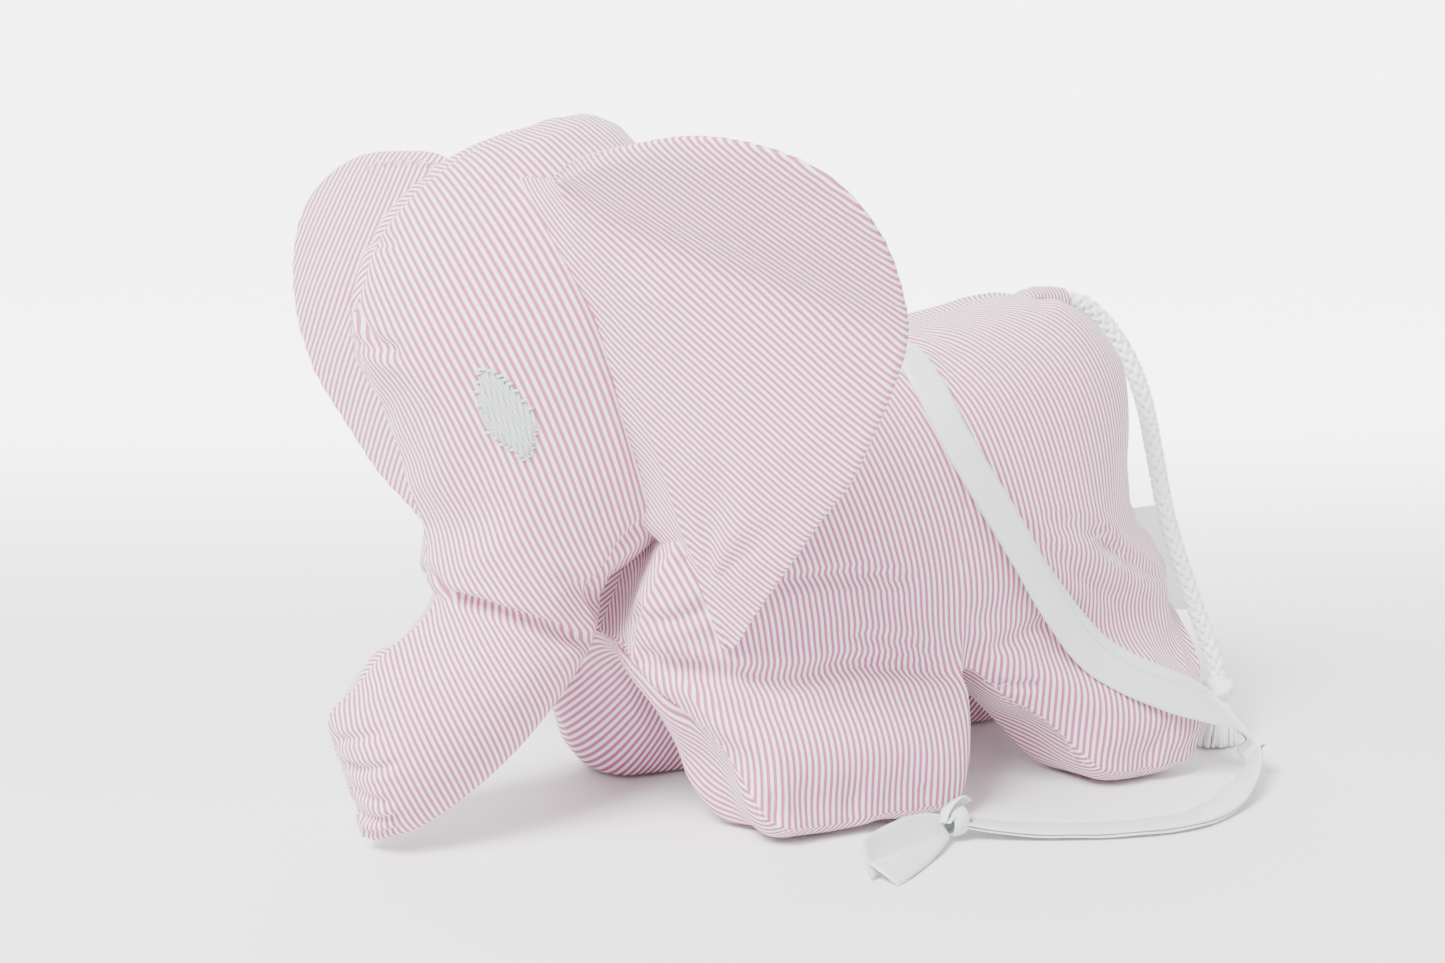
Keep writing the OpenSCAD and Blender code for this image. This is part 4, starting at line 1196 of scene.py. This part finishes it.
def build_ribbon():
    places = smooth_line([r[0] for r in RIBBON], 7)
    across = smooth_line([r[1] for r in RIBBON], 7)
    n = len(places)
    s = np.linspace(0, 1, n)
    outer_slide = 0.4 * np.sin(s * 17)
    # the strand underneath shows beside the other one over the hind leg
    inner_slide = (-3.6 * smoothstep(0.22, 0.34, s) * (1 - smoothstep(0.42, 0.56, s))
                   + 0.3 * np.sin(s * 11 + 1))
    strands = []
    for name, lift, slide, wave in (("ribbon_top_strand", 0.55, outer_slide, 0.12),
                                    ("ribbon_under_strand", -0.35, inner_slide, 0.1)):
        made = strap(places, across, 10, 0.5, lift, slide, wave=wave)
        line = np.array(made[0]).reshape(n, -1, 3).mean(axis=1)
        strands.append((band(name, [made]), line, np.linalg.norm(line[1:] - line[:-1], axis=1).sum()))

    # the knot: the doubled band folded over itself
    k0 = np.array([17.0, -69.7, 5.4])
    pieces = []

    def turn_of(points, width, taper=None, cup=0.3):
        pts = smooth_line([q[0] for q in points], 6)
        acr = smooth_line([q[1] for q in points], 6)
        if taper is not None:
            taper = np.interp(np.linspace(0, 1, len(pts)), np.linspace(0, 1, len(taper)), taper)
        return strap(pts, acr, width, 0.6, 0, np.zeros(len(pts)), cup=cup, wave=0.15, taper=taper)

    # one turn wrapped across the bands
    wrap = []
    for deg in range(-20, 361, 40):
        a = math.radians(deg)
        wrap.append((k0 + [1.2 * math.sin(a * 0.5), 3.6 * math.cos(a), 3.7 * math.sin(a) + 0.2],
                     [1, 0.25, 0.1 * math.sin(a)]))
    pieces.append(turn_of(wrap, 6.4, cup=0.5))
    # folds that go in and out of it
    under = [([8, 3, -1], [-0.4, -0.9, 0.1]), ([4, 1.2, 1.4], [-0.4, -0.85, 0.3]),
             ([0, 0, 2.4], [-0.3, -0.9, 0.2]), ([-4.5, -1.8, 0.4], [-0.4, -0.85, 0.2])]
    over = [([7, 4.4, 3.0], [0.1, -0.5, 0.86]), ([3, 3.0, 5.2], [0.1, -0.7, 0.7]),
            ([-2, 0.8, 4.2], [0, -0.9, 0.45]), ([-5.5, -1.6, 0.8], [-0.2, -0.95, 0.2])]
    for fold, width, taper, cup in ((under, 8.5, [1, 0.8, 0.62, 0.8], 0.9),
                                    (over, 7.5, [0.7, 1, 0.8, 0.7], 0.8)):
        pieces.append(turn_of([(k0 + place, across_it) for place, across_it in fold], width, taper, cup=cup))
    knot = band("ribbon_knot_folds", pieces)

    # the two ends stand on edge and flare
    tails = [
        turn_of([([13, -71, 5.8], [-0.2, 0.4, 0.9]), ([6, -74, 6.4], [-0.15, 0.35, 0.93]),
                 ([-3, -77.5, 6.6], [-0.1, 0.4, 0.9]), ([-13, -81.5, 6.3], [0, 0.4, 0.9]),
                 ([-22.5, -85.5, 5.9], [0.12, 0.35, 0.92])], 12, [0.45, 0.8, 1, 1, 0.98], cup=0.8),
        turn_of([([13, -71.5, 4.0], [-0.3, 0.75, 0.55]), ([5, -75.5, 3.6], [-0.35, 0.75, 0.5]),
                 ([-4, -80.5, 3.2], [-0.35, 0.8, 0.45]), ([-13, -86, 2.8], [-0.38, 0.82, 0.4]),
                 ([-19.5, -90, 2.6], [-0.15, 0.85, 0.4])], 11.5, [0.45, 0.8, 1, 1, 0.95], cup=-0.5)]
    ends = band("ribbon_loose_ends", tails)

    for ob, nodes in ((strands[0][0], "ribbon_outer"), (strands[1][0], "ribbon_inner"), (knot, "ribbon_knot"),
                      (ends, "ribbon_ends")):
        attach(ob, "body")
        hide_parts(nodes)
    for (ob, line, run), pieces in zip(strands, ((knot, ends), ())):
        print(ob.name, "length", round(float(run), 1))


build_ribbon()


# ---- Stage, camera and light ----
def area_light(name, place, target, size, power):
    data = bpy.data.lights.new(name, "AREA")
    data.shape = "RECTANGLE"
    data.size = data.size_y = size
    data.energy = power
    ob = bpy.data.objects.new(name, data)
    ob.location = place
    ob.rotation_mode = "QUATERNION"
    ob.rotation_quaternion = (Vector(target) - Vector(place)).to_track_quat("-Z", "Y")
    bpy.context.scene.collection.objects.link(ob)


# the way along the floor from the camera to the far side of the stage
BACKWARD = (0.45, 0.89)


def sweep(nt, place, low, high, at_low, at_high):
    """A smooth rise from at_low to at_high between two places on the way to the far side of the stage."""
    sep = node(nt, "ShaderNodeSeparateXYZ")
    link(nt, place, sep.inputs[0])
    x, y = (maths(nt, "MULTIPLY", sep.outputs[i], BACKWARD[i]) for i in (0, 1))
    rise = node(nt, "ShaderNodeMapRange", interpolation_type="SMOOTHSTEP")
    link(nt, maths(nt, "ADD", x, y), rise.inputs["Value"])
    set_inputs(rise, From_Min=low, From_Max=high, To_Min=at_low, To_Max=at_high)
    return rise.outputs["Result"]


floor_m, floor_nt, floor_bsdf = new_material("stage_floor")
set_inputs(floor_bsdf, Base_Color=(0.84, 0.84, 0.84, 1), Roughness=0.95, Specular_IOR_Level=0.05,
           Emission_Color=(1, 1, 1, 1))
place = node(floor_nt, "ShaderNodeTexCoord").outputs["Object"]
link(floor_nt, sweep(floor_nt, place, 0.05, 0.9, 0.0, 4.4), floor_bsdf.inputs["Emission Strength"])
FLOOR_HALF, FLOOR_Z = 4000, -0.3
corners = [(x * FLOOR_HALF, y * FLOOR_HALF, FLOOR_Z) for x, y in ((-1, -1), (1, -1), (1, 1), (-1, 1))]
floor = make_object("stage_floor_plane", corners, [(0, 1, 2, 3)], floor_m, smooth=False)

# a bright paper behind the toy, and a softer room in front of it
world = bpy.data.worlds.new("studio")
bpy.context.scene.world = world
world.use_nodes = True
wnt = world.node_tree
room = wnt.nodes["Background"]
room.inputs[0].default_value = (1, 1, 1, 1)
way = node(wnt, "ShaderNodeTexCoord").outputs["Generated"]
link(wnt, sweep(wnt, way, 0.35, 0.85, 0.9, 6.0), room.inputs[1])
area_light("key", (-0.9, -0.5, 1.15), (-0.02, 0, 0.08), 0.6, 70)
area_light("fill", (0.9, -0.8, 0.6), (0, 0, 0.08), 1.0, 5)

cam_data = bpy.data.cameras.new("camera")
cam_data.lens = 50
cam_data.sensor_width = 36
cam_data.clip_start, cam_data.clip_end = 0.01, 20
cam = bpy.data.objects.new("camera", cam_data)
az, el, dist = math.radians(-27), math.radians(10), 0.62
back = Vector((math.sin(az) * math.cos(el), -math.cos(az) * math.cos(el), math.sin(el)))
cam.location = Vector((-0.024, 0, 0.1)) + back * dist
cam.rotation_mode = "QUATERNION"
cam.rotation_quaternion = (-back).to_track_quat("-Z", "Y")
bpy.context.scene.collection.objects.link(cam)
bpy.context.scene.camera = cam
